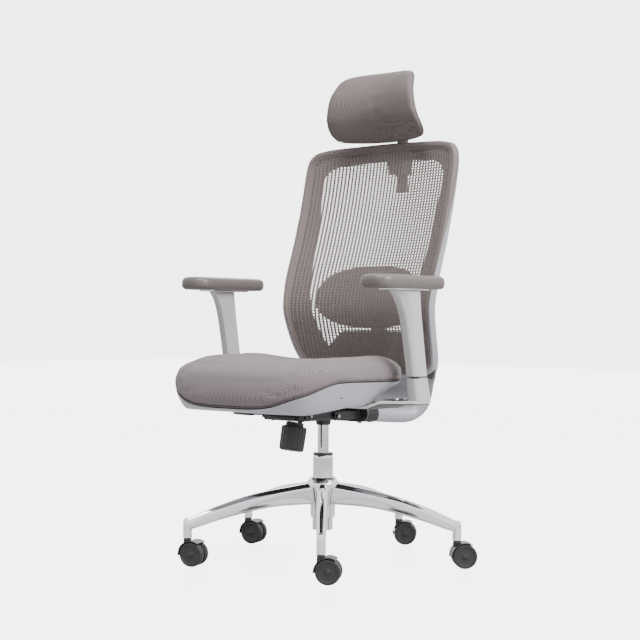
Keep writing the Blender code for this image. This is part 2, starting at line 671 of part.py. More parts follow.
def make_seat():
    plan = seat_outline()
    floor = PAN_FLOOR + PAN_WALL
    rim = 0.0095

    def rim_height(y):
        return through(RIM_LINE, y)

    def skirt_height(y):
        return through(SKIRT_LINE, y)

    outer = [seat_ring(plan, rim, rim_height),
             seat_ring(plan, 0.0165, lambda y: (rim_height(y) + skirt_height(y)) / 2),
             seat_ring(plan, 0.030, lambda y: skirt_height(y) + 0.003),
             seat_ring(plan, 0.037, skirt_height),
             seat_ring(plan, 0.046, lambda y: max(skirt_height(y) + 0.008, PAN_FLOOR - 0.004)),
             seat_ring(plan, 0.066, lambda y: PAN_FLOOR)]
    inner = [seat_ring(plan, 0.066, lambda y: floor),
             seat_ring(plan, 0.048, lambda y: max(skirt_height(y) + 0.008, PAN_FLOOR - 0.004) + PAN_WALL),
             seat_ring(plan, 0.039, lambda y: skirt_height(y) + PAN_WALL + 0.001),
             seat_ring(plan, 0.0335, lambda y: skirt_height(y) + PAN_WALL + 0.003),
             seat_ring(plan, 0.0200, lambda y: (rim_height(y) + skirt_height(y)) / 2),
             seat_ring(plan, rim + PAN_WALL, rim_height)]
    pan = loft("seat_pan", [outer[-1]] + outer[-2::-1] + inner[::-1])
    part("seat_pan", pan, SHELL, (0, TILT_Y, TILT_Z))

    board_plan = inset(plan, 0.070)
    board_low = floor + GAP
    board_high = board_low + BOARD_THICKNESS
    board = loft("seat_board", [[(p.x, p.y, z) for p in board_plan] for z in (board_low, board_high)])
    part("seat_board", board, WOOD, (0, TILT_Y, TILT_Z))

    lift = 0.0028
    bottom = board_high + GAP

    def edge(share):
        def height(y):
            low, high = rim_height(y), through(TOP_LINE, y)
            return low + (high - low) * share
        return height

    shoulder = inset(plan, 0.028)
    crown = inset(plan, 0.050)
    middle = Vector((0.0, SEAT_MIDDLE))
    inner_crown = [middle + (p - middle) * 0.55 for p in crown]
    layers = [seat_ring(plan, 0.082, lambda y: bottom),
              seat_ring(plan, 0.042, lambda y: max(rim_height(y) + lift, bottom)),
              seat_ring(plan, 0.018, lambda y: rim_height(y) + lift),
              seat_ring(plan, 0.0085, lambda y: rim_height(y) + lift),
              seat_ring(plan, 0.002, edge(0.22)),
              seat_ring(plan, 0.000, edge(0.45)),
              seat_ring(plan, 0.004, edge(0.68)),
              seat_ring(plan, 0.013, edge(0.84)),
              [(p.x, p.y, through(TOP_LINE, p.y) - 0.0025) for p in shoulder],
              [(p.x, p.y, through(TOP_LINE, p.y)) for p in crown],
              [(p.x, p.y, through(TOP_LINE, p.y)) for p in inner_crown]]
    tips = ((0, SEAT_MIDDLE, bottom), (0, SEAT_MIDDLE, through(TOP_LINE, SEAT_MIDDLE)))
    part("seat_cushion", loft("seat_cushion", layers, tips=tips), FABRIC, (0, TILT_Y, TILT_Z))


# ---------------------------------------------------------------- back
SIDE_LINE = ((0.420, 0.190), (0.500, 0.160), (0.560, 0.139), (0.630, 0.124), (0.700, 0.137),
             (0.800, 0.171), (0.900, 0.200), (1.000, 0.221), (1.060, 0.228))
HOOP_HALF = [(0.0, 1.068), (0.108, 1.0650), (0.190, 1.0590), (0.2290, 1.0440), (BACK_HALF - 0.001, 1.004),
             (BACK_HALF, 0.900), (BACK_HALF, 0.760), (BACK_HALF - 0.001, 0.660), (0.2370, 0.575),
             (0.2240, 0.505), (0.199, 0.472), (0.120, 0.4545), (0.0, 0.4510)]
WINDOW_HALF = [(0.0, 1.0205), (0.098, 1.0180), (0.156, 1.0130), (0.186, 0.9985), (0.1990, 0.965),
               (0.1910, 0.870), (0.1850, 0.766), (0.1750, 0.672), (0.1610, 0.605), (0.145, 0.558),
               (0.125, 0.516), (0.085, 0.4950), (0.0, 0.4890)]


def back_y(x, z, behind=0.0):
    """Mid-surface of the back: leaning sides, hollow across, most forward at the lumbar."""
    return through(SIDE_LINE, z) + BACK_HOLLOW * (1.0 - (x / BACK_HALF) ** 2) + behind


def hoop_rail(name, outline, width, depth, behind, corner=0.0, steps=0):
    """Closed rail along an outline on the back's surface; width lies in the surface."""
    n = len(outline)
    section = rounded(width / 2, depth / 2, corner, steps)
    rings = []
    for i in range(n):
        along = (outline[(i + 1) % n] - outline[i - 1]).normalized()
        across = Vector((along.y, -along.x))
        ring = []
        for a, b in section:
            x, z = outline[i] + across * a
            ring.append((x, back_y(x, z, behind + b), z))
        rings.append(ring)
    return loft(name, rings, loop=True)


def sheet_section(y, z, slant, half, thickness, hollow, count=9):
    """Cross-section of the lower back arm: a slab across X, bowed towards the seat at its sides."""
    normal = Vector((-sin(radians(slant)), cos(radians(slant))))
    top, under = [], []
    for k in range(count):
        x = half * (2 * k / (count - 1) - 1)
        edge = 1.0 - 0.35 * abs(x / half) ** 8
        bow = hollow * (x / half) ** 2
        for row, side in ((top, 0.5), (under, -0.5)):
            p = Vector((y, z)) + normal * (bow + side * thickness * edge)
            row.append((x, p.x, p.y))
    return top + under[::-1]


BACK_ARM = ((BACK_ARM_START, 0.3675, 0, 0.095, 0.042, 0.0), (0.120, 0.3650, 0, 0.106, 0.042, 0.0),
            (0.175, 0.3605, 0, 0.122, 0.041, 0.0), (0.212, 0.3600, 14, 0.137, 0.040, 0.003),
            (0.2370, 0.377, 47, 0.157, 0.033, 0.012), (0.2450, 0.409, 74, 0.175, 0.023, 0.026),
            (0.2400, 0.444, 93, 0.190, 0.016, 0.033), (0.2285, 0.474, 103, 0.203, 0.012, 0.0315),
            (0.2165, 0.502, 104, 0.211, 0.011, 0.031), (0.2095, 0.530, 101, 0.152, 0.010, 0.016),
            (0.2045, 0.573, 96, 0.101, 0.009, 0.0065))


def make_back():
    outline = smooth_outline(mirrored(HOOP_HALF), 2)
    rim = hoop_rail("back_frame", inset(outline, RIM_WIDTH / 2), RIM_WIDTH, RIM_DEPTH, 0.003, 0.004, 1)
    arm = loft("back_arm", [sheet_section(*section) for section in BACK_ARM])
    spine = box("spine", (-SPINE_HALF, -SPINE_THICKNESS / 2, 0.0),
                (SPINE_HALF, SPINE_THICKNESS / 2, (SPINE_HEAD - SPINE_FOOT).length))
    spine.data.transform(spine_matrix())
    join(rim, arm, spine)
    part("back_frame", rim, SHELL, (0, RECLINE_Y, RECLINE_Z))

    window = smooth_outline(mirrored(WINDOW_HALF), 2)
    band_rings = []
    for p, q in zip(inset(outline, RIM_WIDTH + FIT), window):
        corners = ((p, -1), (q, -1), (q, 1), (p, 1))
        band_rings.append([(v.x, back_y(v.x, v.y, BAND_MIDDLE + side * BAND_DEPTH / 2), v.y)
                           for v, side in corners])
    part("mesh_frame", loft("mesh_frame", band_rings, loop=True), BAND, (0, RECLINE_Y, RECLINE_Z))

    edge = inset(outline, RIM_WIDTH + 0.0015)
    inner = window
    middle = sum(edge, Vector((0.0, 0.0))) / len(edge)
    face = [[middle + (p - middle) * scale for p in inner] for scale in (0.2, 0.4, 0.6, 0.8, 1.0)] + [edge]
    front = BAND_MIDDLE - BAND_DEPTH / 2 - FIT - MESH_THICKNESS
    back = front + MESH_THICKNESS
    rings = [[(p.x, back_y(p.x, p.y, depth), p.y) for p in ring]
             for depth, order in ((front, face), (back, face[::-1])) for ring in order]
    tips = [(middle.x, back_y(middle.x, middle.y, depth), middle.y) for depth in (front, back)]
    part("mesh_panel", loft("mesh_panel", rings, tips=tips), MESH, (0, RECLINE_Y, RECLINE_Z))


def spine_matrix():
    """Frame of the spine: Z runs up it, Y points backwards."""
    rise = SPINE_HEAD - SPINE_FOOT
    return Matrix.Translation(SPINE_FOOT) @ Matrix.Rotation(-math.atan2(rise.y, rise.z), 4, 'X')


def make_lumbar():
    """Sleeve that slides on the spine, and the pad it presses against the mesh."""
    low, high = 0.118, 0.172
    wall = 0.005
    half_x, half_y = SPINE_HALF + FIT + wall, SPINE_THICKNESS / 2 + FIT + wall
    carrier = box("lumbar_carrier", (-half_x, -half_y, low), (half_x, half_y, high), 0.002)
    wing = box("lumbar_wing", (-0.085, -half_y - 0.004, low + 0.012),
               (0.085, -half_y + 0.003, high - 0.012), 0.0015)
    slot = box("spine_slot", (-SPINE_HALF - FIT, -SPINE_THICKNESS / 2 - FIT, low - 0.02),
               (SPINE_HALF + FIT, SPINE_THICKNESS / 2 + FIT, high + 0.02))
    neck = box("lumbar_neck", (-0.030, -0.0240, low + 0.014), (0.030, -half_y - 0.002, high - 0.014))
    cut(join(carrier, wing, neck), slot)
    mesh = bake(carrier)
    mesh.transform(spine_matrix())
    part("lumbar_carrier", bpy.data.objects.new("lumbar_carrier", mesh), BAND)

    half = [(0.0, 0.742), (0.080, 0.738), (0.140, 0.716), (0.168, 0.668), (0.150, 0.616), (0.090, 0.588),
            (0.0, 0.582)]
    outline = smooth_outline(mirrored(half), 3)

    def point(x, z, depth):
        return (x, back_y(x, z, LUMBAR_CLEAR + depth), z)

    layers = [(0.30, 0.0), (0.70, 0.0), (0.93, 0.002), (1.0, 0.006), (0.98, 0.010), (0.80, 0.0145),
              (0.30, 0.016)]
    part("lumbar_pad", pillow("lumbar_pad", outline, layers, point), BAND)


# ---------------------------------------------------------------- headrest
HEAD_LINE = ((HEAD_LOW, 0.2640), (1.087, 0.2590), (1.110, 0.2420), (1.135, 0.2270), (1.187, 0.2210),
             (1.232, 0.2370), (1.254, 0.2470))


def head_y(x, z, behind=0.0):
    """Mid-surface of the headrest: hollow across, and bowed towards the neck."""
    return through(HEAD_LINE, z) - HEAD_HOLLOW * (x / HEAD_HALF) ** 2 + behind


def make_headrest():
    t = HEAD_POST_THICKNESS
    y0, y1 = POST_Y - t / 2, POST_Y + t / 2
    rail_back = back_y(0.0, 1.06) + 0.003 + RIM_DEPTH / 2 + GAP
    holder = box("headrest_holder", (-0.025, rail_back, 0.990), (0.025, y1 + FIT + 0.005, 1.067), 0.003)
    cut(holder, box("holder_slot", (-HEAD_POST_HALF - FIT, y0 - FIT, 0.90),
                    (HEAD_POST_HALF + FIT, y1 + FIT, 1.12)))
    part("headrest_holder", holder, SHELL, (0, RECLINE_Y, RECLINE_Z))

    neck = [(0.945, POST_Y), (1.100, POST_Y), (1.120, POST_Y - 0.003), (1.138, POST_Y - 0.014),
            (HEAD_PIVOT_Z, HEAD_PIVOT_Y + 0.004)]
    rings = []
    for k, (z, y) in enumerate(neck):
        lean = 0.0 if k < 2 else radians(18 * (k - 1))
        across = [Vector((y, z)) + Vector((cos(lean), sin(lean))) * s for s in (-t / 2, t / 2)]
        (ya, za), (yb, zb) = across
        h = HEAD_POST_HALF
        rings.append([(-h, ya, za), (h, ya, za), (h, yb, zb), (-h, yb, zb)])
    post = loft("headrest_post", rings)
    join(post, rod("barrel", BARREL_RADIUS, (-0.034, HEAD_PIVOT_Y, HEAD_PIVOT_Z),
                   (0.034, HEAD_PIVOT_Y, HEAD_PIVOT_Z), 24))
    part("headrest_post", post, SHELL)

    half = [(0.0, 1.2540), (0.072, 1.2515), (0.115, 1.2400), (0.132, 1.2050), (0.1445, 1.1500),
            (0.1520, 1.1080), (0.1470, 1.0850), (0.120, 1.0740), (0.0, HEAD_LOW)]
    outline = smooth_outline(mirrored(half), 2)

    def point(x, z, depth):
        return (x, head_y(x, z, depth), z)

    shell_layers = [(0.30, 0.0156), (0.70, 0.0146), (0.92, 0.0091), (0.965, 0.0056), (0.975, 0.0068),
                    (0.968, 0.0084), (0.90, 0.0140), (0.70, 0.0195), (0.30, 0.0212)]
    shell = pillow("headrest_shell", outline, shell_layers, point)
    ear_front = head_y(0.0, HEAD_PIVOT_Z, 0.0175)
    for side in (-1, 1):
        inner, outer = sorted((side * 0.0205, side * 0.0300))
        join(shell, box("head_ear_%d" % side, (inner, ear_front, HEAD_PIVOT_Z - 0.013),
                        (outer, HEAD_PIVOT_Y + 0.012, HEAD_PIVOT_Z + 0.013), 0.002))
    cut(shell, rod("barrel_hole", BARREL_RADIUS + GAP, (-0.05, HEAD_PIVOT_Y, HEAD_PIVOT_Z),
                   (0.05, HEAD_PIVOT_Y, HEAD_PIVOT_Z), 24))
    part("headrest_shell", shell, SHELL, (0, HEAD_PIVOT_Y, HEAD_PIVOT_Z))

    cushion_layers = [(0.30, 0.0150), (0.70, 0.0140), (0.92, 0.0085), (0.985, 0.0030), (1.0, -0.001),
                      (0.990, -0.006), (0.955, -0.0120), (0.88, -0.0180), (0.70, -0.0240), (0.35, -0.0270)]
    part("headrest_cushion", pillow("headrest_cushion", outline, cushion_layers, point), FABRIC,
         (0, HEAD_PIVOT_Y, HEAD_PIVOT_Z))


# ---------------------------------------------------------------- arms
def arm_y(z):
    return ARM_FOOT_Y + ARM_LEAN * (z - ARM_FOOT_Z)


def arm_section(z, half_x, front, rear, corner=0.009):
    """Section of the arm at one height: front and rear are distances from the leaning middle line."""
    middle, half_y = (rear - front) / 2, (rear + front) / 2
    return [(ARM_X + a, arm_y(z) + middle + b, z) for a, b in rounded(half_x, half_y, corner)]


def arm_pocket(name, low, high, clearance):
    rings = [[(ARM_X + a, arm_y(z) + b, z) for a, b in
              rounded(POST_HALF_X + clearance, POST_HALF_Y + clearance, 0.003, 1)] for z in (low, high)]
    return loft(name, rings)


def make_arm(side, tag):
    """One armrest: bracket with socket, inner post, sliding sleeve, button, swivel plate and pad."""
    plate_low, plate = 0.3923, 0.0065
    lifted = plate_low + 0.0120

    def sided(obj):
        """The arm is modelled on the sitter's left and mirrored for the right."""
        mesh = bake(obj)
        if side < 0:
            mesh.transform(Matrix.Diagonal((-1, 1, 1, 1)))
            mesh.flip_normals()
        return bpy.data.objects.new(obj_name, mesh)

    obj_name = "arm_bracket_" + tag
    socket = loft(obj_name, [arm_section(lifted, 0.0165, 0.026, 0.026),
                             arm_section(0.425, 0.0162, 0.0255, 0.0255),
                             arm_section(ARM_SPLIT - 0.001, 0.0150, 0.0240, 0.0240)])
    stations = ((0.135, -0.118, -0.010, 0.0), (0.222, -0.111, 0.022, 0.0), (0.250, -0.096, 0.023, 1.0),
                (0.302, -0.049, 0.023, 1.0), (0.3165, -0.036, 0.012, 1.0))
    rings = []
    for x, front, rear, rise in stations:
        z = plate_low + (lifted - plate_low) * rise
        rings.append([(x, front, z), (x, rear, z), (x, rear, z + plate), (x, front, z + plate)])
    seat_foot = box("seat_foot", (0.137, -0.110, plate_low + 0.002), (0.168, -0.015, PAN_FLOOR - GAP))
    cut(join(socket, loft("bracket_plate", rings), seat_foot),
        arm_pocket("socket_pocket", lifted + 0.004, ARM_SPLIT + 0.02, GAP))
    part(obj_name, sided(socket), SHELL, (0, TILT_Y, TILT_Z))

    obj_name = "arm_post_" + tag
    part(obj_name, sided(arm_pocket(obj_name, lifted + 0.004 + GAP, 0.640, 0.0)), STEEL, (0, TILT_Y, TILT_Z))

    obj_name = "arm_sleeve_" + tag
    low = ARM_SPLIT + 0.001
    sleeve = loft(obj_name, [
        arm_section(low, 0.0148, 0.0235, 0.0235), arm_section(0.540, 0.0150, 0.0245, 0.0240),
        arm_section(0.600, 0.0155, 0.0270, 0.0245), arm_section(0.635, 0.0165, 0.0330, 0.0250),
        arm_section(0.658, 0.0175, 0.0430, 0.0255), arm_section(ARM_TOP, 0.0180, 0.0540, 0.0260)])
    button_z, depth = 0.652, 0.009
    rear = arm_y(button_z) + 0.0252
    button_room = box("button_room", (ARM_X - 0.0065, rear - depth, button_z - 0.011),
                      (ARM_X + 0.0065, rear + 0.02, button_z + 0.011))
    cut(sleeve, arm_pocket("sleeve_pocket", low - 0.02, 0.6435, FIT), button_room)
    part(obj_name, sided(sleeve), SHELL)

    obj_name = "arm_button_" + tag
    button = box(obj_name, (ARM_X - 0.0060, rear - depth + 0.0035, button_z - 0.0105),
                 (ARM_X + 0.0060, rear + 0.0035, button_z + 0.0105), 0.0012)
    part(obj_name, sided(button), CHROME)

    obj_name = "arm_plate_" + tag
    swivel = Vector((PAD_X, arm_y(ARM_TOP), ARM_TOP + GAP))
    plate = box(obj_name, (swivel.x - 0.026, swivel.y - 0.070, swivel.z),
                (swivel.x + 0.026, swivel.y + 0.060, swivel.z + 0.0065), 0.0015)
    part(obj_name, sided(plate), CHROME, (side * swivel.x, swivel.y, swivel.z))

    obj_name = "arm_pad_" + tag
    ring_sizes = ((0.0, -0.008), (0.004, -0.0025), (0.012, 0.0), (0.020, 0.0), (0.0285, -0.003),
                  (PAD_HEIGHT, -0.011))
    rings = []
    for rise, grow in ring_sizes:
        loop = rounded(PAD_WIDTH / 2 + grow, PAD_LENGTH / 2 + grow, 0.036 + grow, 5)
        rings.append([(PAD_X + a, PAD_Y + b, PAD_BOTTOM + rise) for a, b in loop])
    pad = loft(obj_name, rings)
    travel = 0.026
    cut(pad, box("pad_pocket", (swivel.x - 0.026 - FIT, swivel.y - 0.070 - travel, PAD_BOTTOM - 0.01),
                 (swivel.x + 0.026 + FIT, swivel.y + 0.060 + travel, swivel.z + 0.0065 + GAP)))
    part(obj_name, sided(pad), PAD)


# ---------------------------------------------------------------- assembly
make_base()
make_casters()
make_gas_lift()
make_mechanism()
make_tension_knob()
make_levers()
make_brackets()
make_seat()
make_back()
make_lumbar()
make_headrest()
make_arm(1, "left")
make_arm(-1, "right")
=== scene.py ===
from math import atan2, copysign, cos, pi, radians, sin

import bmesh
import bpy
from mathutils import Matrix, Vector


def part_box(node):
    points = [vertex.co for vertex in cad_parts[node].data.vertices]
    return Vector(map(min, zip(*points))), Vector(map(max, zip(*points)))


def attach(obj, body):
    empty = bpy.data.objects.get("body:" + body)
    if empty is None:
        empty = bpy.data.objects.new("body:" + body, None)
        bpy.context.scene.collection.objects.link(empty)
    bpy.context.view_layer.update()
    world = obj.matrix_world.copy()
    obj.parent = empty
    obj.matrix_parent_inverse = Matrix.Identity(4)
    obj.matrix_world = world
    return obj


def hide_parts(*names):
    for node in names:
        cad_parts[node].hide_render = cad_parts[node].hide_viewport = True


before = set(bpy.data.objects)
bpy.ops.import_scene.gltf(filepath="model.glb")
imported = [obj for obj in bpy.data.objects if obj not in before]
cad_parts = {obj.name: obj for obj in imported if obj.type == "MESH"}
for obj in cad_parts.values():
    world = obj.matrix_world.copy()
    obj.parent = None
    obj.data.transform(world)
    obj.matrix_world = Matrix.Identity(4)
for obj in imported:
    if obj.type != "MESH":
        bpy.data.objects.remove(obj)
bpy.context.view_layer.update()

# %% [markdown]
# # A mesh task chair
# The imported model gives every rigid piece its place: a star base on five casters, a gas lift, a tilt
# mechanism, a seat on a plastic pan, a hooped back with a stretched net, a headrest and two arms. This
# lesson dresses that model. Each step says what the real piece is, which ways Blender has to make it,
# and why one of them was taken.

tube_low, tube_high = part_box("column_tube")
COLUMN = Vector(((tube_low.x + tube_high.x) / 2, (tube_low.y + tube_high.y) / 2, 0.0))
GAP = 0.0003

# %% [markdown]
# ## Camera, floor and light
# A product picture of a chair is taken with a long lens from about seat height, on a white sweep. A sweep
# is one sheet that curves up behind the object; here a wide flat floor under a pale world does the same,
# and a little gloss in the floor gives the faint mirror image under the casters. Large area lights stand
# for softboxes, because small lamps would draw hard shadows and pinpoint highlights on the chrome.
#
# World and floor look brighter to the camera than they light the chair. A Light Path node makes that
# split. It is a cheat: one even brightness would either grey the background or wash out the dark parts.

# %% Camera
VIEW_AZIMUTH = radians(39.8)
VIEW_DISTANCE = 3.74
VIEW_HEIGHT = 0.601
VIEW_ROLL, VIEW_TURN = radians(-0.46), radians(0.16)
LENS_LENGTH, SENSOR_WIDTH = 83.9, 36.0
lens = bpy.data.cameras.new("camera")
lens.lens = LENS_LENGTH
lens.sensor_width = SENSOR_WIDTH
camera = bpy.data.objects.new("camera", lens)
bpy.context.scene.collection.objects.link(camera)
camera.location = COLUMN + Vector((VIEW_DISTANCE * sin(VIEW_AZIMUTH), -VIEW_DISTANCE * cos(VIEW_AZIMUTH),
                                   VIEW_HEIGHT))
camera.rotation_euler = (radians(90.0), VIEW_ROLL, VIEW_AZIMUTH + VIEW_TURN)
bpy.context.scene.camera = camera
print("camera at", [round(v, 2) for v in camera.location])


# %% Shader building blocks
def add_node(tree, kind, **values):
    """New node; keyword values set its properties."""
    node = tree.nodes.new(kind)
    for key, value in values.items():
        setattr(node, key, value)
    return node


def wire_up(tree, start, end):
    tree.links.new(start, end)


def arithmetic(tree, operation, first, second=None):
    """One Math node; inputs are sockets or numbers."""
    node = add_node(tree, 'ShaderNodeMath', operation=operation)
    for socket, value in zip(node.inputs, (first, second)):
        if value is None:
            continue
        if isinstance(value, (int, float)):
            socket.default_value = value
        else:
            wire_up(tree, value, socket)
    return node.outputs[0]


def new_group(name, inputs, outputs):
    """Shader node group with named sockets; returns the tree and its two end nodes."""
    tree = bpy.data.node_groups.new(name, 'ShaderNodeTree')
    for label, kind, value in inputs:
        socket = tree.interface.new_socket(name=label, in_out='INPUT', socket_type=kind)
        socket.default_value = value
    for label, kind in outputs:
        tree.interface.new_socket(name=label, in_out='OUTPUT', socket_type=kind)
    return tree, tree.nodes.new('NodeGroupInput'), tree.nodes.new('NodeGroupOutput')


# %% [markdown]
# ## Shared surface effects
# Three effects come back in many finishes. *Mottle* is the faint cloudiness of any moulded or cast
# surface, and it moves colour and roughness a little. *Knit* is the relief of a fine knitted fabric. A
# knit could be an image or a pair of crossed waves, but both need a flat layout of the surface. A gyroid
# is a solid pattern of interlaced curves, so it cuts any face into a woven look without one.
# *Moulded skin* is the fine pebble of textured plastic and urethane.

# %% Effect: mottle
mottle, mottle_in, mottle_out = new_group(
    "mottle",
    [("Base", 'NodeSocketColor', (0.5, 0.5, 0.5, 1.0)), ("Amount", 'NodeSocketFloat', 0.05),
     ("Size", 'NodeSocketFloat', 0.05), ("Roughness", 'NodeSocketFloat', 0.4)],
    [("Color", 'NodeSocketColor'), ("Roughness", 'NodeSocketFloat')])
place_in = add_node(mottle, 'ShaderNodeTexCoord')
cloud = add_node(mottle, 'ShaderNodeTexNoise')
cloud.inputs["Detail"].default_value = 4.0
wire_up(mottle, place_in.outputs["Object"], cloud.inputs["Vector"])
wire_up(mottle, arithmetic(mottle, 'DIVIDE', 1.0, mottle_in.outputs["Size"]), cloud.inputs["Scale"])
swing = arithmetic(mottle, 'SUBTRACT', cloud.outputs[0], 0.5)
swing = arithmetic(mottle, 'MULTIPLY', swing, mottle_in.outputs["Amount"])
shade = add_node(mottle, 'ShaderNodeHueSaturation')
wire_up(mottle, arithmetic(mottle, 'MULTIPLY_ADD', swing, 2.0), shade.inputs["Value"])
shade.inputs["Value"].links[0].from_node.inputs[2].default_value = 1.0
wire_up(mottle, mottle_in.outputs["Base"], shade.inputs["Color"])
wire_up(mottle, shade.outputs[0], mottle_out.inputs["Color"])
rough = arithmetic(mottle, 'ADD', mottle_in.outputs["Roughness"], swing)
wire_up(mottle, rough, mottle_out.inputs["Roughness"])
print("group", mottle.name, "with", len(mottle.nodes), "nodes")

# %% Effect: knit
knit, knit_in, knit_out = new_group(
    "knit",
    [("Pitch", 'NodeSocketFloat', 0.003), ("Lean", 'NodeSocketFloat', 0.6)],
    [("Height", 'NodeSocketFloat'), ("Valley", 'NodeSocketFloat')])
place_in = add_node(knit, 'ShaderNodeTexCoord')
turned = add_node(knit, 'ShaderNodeVectorRotate', rotation_type='Z_AXIS')
wire_up(knit, place_in.outputs["Object"], turned.inputs["Vector"])
wire_up(knit, knit_in.outputs["Lean"], turned.inputs["Angle"])
scaled = add_node(knit, 'ShaderNodeVectorMath', operation='SCALE')
wire_up(knit, turned.outputs[0], scaled.inputs[0])
wire_up(knit, arithmetic(knit, 'DIVIDE', 2 * pi, knit_in.outputs["Pitch"]), scaled.inputs["Scale"])
axes = add_node(knit, 'ShaderNodeSeparateXYZ')
wire_up(knit, scaled.outputs[0], axes.inputs[0])
terms = []
for a, b in ((0, 1), (1, 2), (2, 0)):
    rise = arithmetic(knit, 'SINE', axes.outputs[a])
    run = arithmetic(knit, 'COSINE', axes.outputs[b])
    terms.append(arithmetic(knit, 'MULTIPLY', rise, run))
gyroid = arithmetic(knit, 'ADD', arithmetic(knit, 'ADD', terms[0], terms[1]), terms[2])
height = arithmetic(knit, 'MULTIPLY_ADD', gyroid, 0.33)
height.node.inputs[2].default_value = 0.5
wire_up(knit, height, knit_out.inputs["Height"])
valley = arithmetic(knit, 'SUBTRACT', 1.0, height)
wire_up(knit, arithmetic(knit, 'POWER', valley, 2.0), knit_out.inputs["Valley"])
print("group", knit.name, "with", len(knit.nodes), "nodes")

# %% Effect: moulded skin
pebble, pebble_in, pebble_out = new_group(
    "moulded_skin", [("Size", 'NodeSocketFloat', 0.0012)], [("Height", 'NodeSocketFloat')])
place_in = add_node(pebble, 'ShaderNodeTexCoord')
cells = add_node(pebble, 'ShaderNodeTexVoronoi', feature='SMOOTH_F1')
wire_up(pebble, place_in.outputs["Object"], cells.inputs["Vector"])
wire_up(pebble, arithmetic(pebble, 'DIVIDE', 1.0, pebble_in.outputs["Size"]), cells.inputs["Scale"])
wire_up(pebble, cells.outputs["Distance"], pebble_out.inputs["Height"])
print("group", pebble.name, "with", len(pebble.nodes), "nodes")


# %% Placing an effect in a material
def use_group(tree, group, **values):
    node = add_node(tree, 'ShaderNodeGroup', node_tree=group)
    for label, value in values.items():
        node.inputs[label].default_value = value
    return node


def start_finish(name, colour, roughness, metallic=0.0, amount=0.04, cloud_size=0.05):
    """Material with a Principled shader fed by the mottle effect; returns it with its tree and shader."""
    made = bpy.data.materials.new(name)
    made.use_nodes = True
    tree = made.node_tree
    shader = tree.nodes["Principled BSDF"]
    shader.inputs["Metallic"].default_value = metallic
    cloudy = use_group(tree, mottle, Base=(*colour, 1.0), Amount=amount, Size=cloud_size, Roughness=roughness)
    wire_up(tree, cloudy.outputs["Color"], shader.inputs["Base Color"])
    wire_up(tree, cloudy.outputs["Roughness"], shader.inputs["Roughness"])
    return made, tree, shader


def add_relief(tree, shader, height, depth):
    """Bump of a real depth in metres."""
    bump = add_node(tree, 'ShaderNodeBump')
    bump.inputs["Distance"].default_value = depth
    bump.inputs["Strength"].default_value = 1.0
    wire_up(tree, height, bump.inputs["Height"])
    wire_up(tree, bump.outputs[0], shader.inputs["Normal"])


# %% [markdown]
# ## Hard finishes
# The star is die-cast aluminium, polished and lacquered: nearly a mirror, with a soft cloudiness. The
# lift stages are chrome on steel. The pan, arms and back frame are glass-filled nylon with a satin
# gloss, so they get a little coat over the base. Casters, knob and mechanism are near black.

# %% Metals
star_metal, _, _ = start_finish("polished_star", (0.84, 0.84, 0.855), 0.10, 1.0, 0.05, 0.08)
chrome, _, _ = start_finish("bright_chrome", (0.80, 0.80, 0.81), 0.06, 1.0, 0.03, 0.03)
bare_steel, _, _ = start_finish("oiled_steel", (0.36, 0.36, 0.37), 0.32, 1.0, 0.10, 0.02)
print("metals ready")


# %% Plastics, paint and rubber
def moulded(name, colour, roughness, skin_size, skin_depth, coat=0.0, amount=0.03):
    made, tree, shader = start_finish(name, colour, roughness, 0.0, amount)
    skin = use_group(tree, pebble, Size=skin_size)
    add_relief(tree, shader, skin.outputs["Height"], skin_depth)
    shader.inputs["Coat Weight"].default_value = coat
    shader.inputs["Coat Roughness"].default_value = 0.12
    return made


shell_grey = moulded("light_grey_nylon", (0.43, 0.42, 0.465), 0.36, 0.0011, 0.00001, 0.25)
arm_grey = moulded("arm_grey_nylon", (0.62, 0.61, 0.61), 0.38, 0.0011, 0.00001, 0.2)
frame_taupe = moulded("taupe_nylon", (0.125, 0.104, 0.099), 0.50, 0.0014, 0.00002)
caster_black = moulded("caster_black", (0.012, 0.012, 0.014), 0.34, 0.0009, 0.00001, 0.2)
knob_black = moulded("knob_black", (0.020, 0.018, 0.020), 0.42, 0.0010, 0.00002)
sheet_black = moulded("powder_coat_black", (0.016, 0.016, 0.019), 0.40, 0.0016, 0.00002, 0.0, 0.10)
tread_black = moulded("tread_black", (0.022, 0.022, 0.024), 0.50, 0.0010, 0.00001)
pad_taupe = moulded("taupe_urethane_skin", (0.150, 0.128, 0.124), 0.40, 0.0009, 0.00003, 0.05)
plywood = moulded("board_ply", (0.42, 0.29, 0.17), 0.60, 0.004, 0.00002, 0.0, 0.25)
print("moulded finishes ready")


# %% [markdown]
# ## Fabrics
# The cushions wear a fine spacer knit over foam. Its relief is real, about a third of a millimetre, and
# its valleys are darker because light is lost in them. Fabric also brightens towards its outline, which
# the shader's sheen gives. The net is the same yarn, but its holes are cut in the mesh, not painted.

# %% Knitted covers
def knitted(name, colour, valley_colour, pitch, depth, sheen, lean=0.6):
    made, tree, shader = start_finish(name, colour, 0.85, 0.0, 0.10, 0.09)
    loops = use_group(tree, knit, Pitch=pitch, Lean=lean)
    shaded = add_node(tree, 'ShaderNodeMix', data_type='RGBA')
    cloudy = shader.inputs["Base Color"].links[0].from_socket
    wire_up(tree, loops.outputs["Valley"], shaded.inputs[0])
    wire_up(tree, cloudy, shaded.inputs[6])
    shaded.inputs[7].default_value = (*valley_colour, 1.0)
    wire_up(tree, shaded.outputs[2], shader.inputs["Base Color"])
    add_relief(tree, shader, loops.outputs["Height"], depth)
    shader.inputs["Sheen Weight"].default_value = sheen
    shader.inputs["Sheen Roughness"].default_value = 0.45
    return made


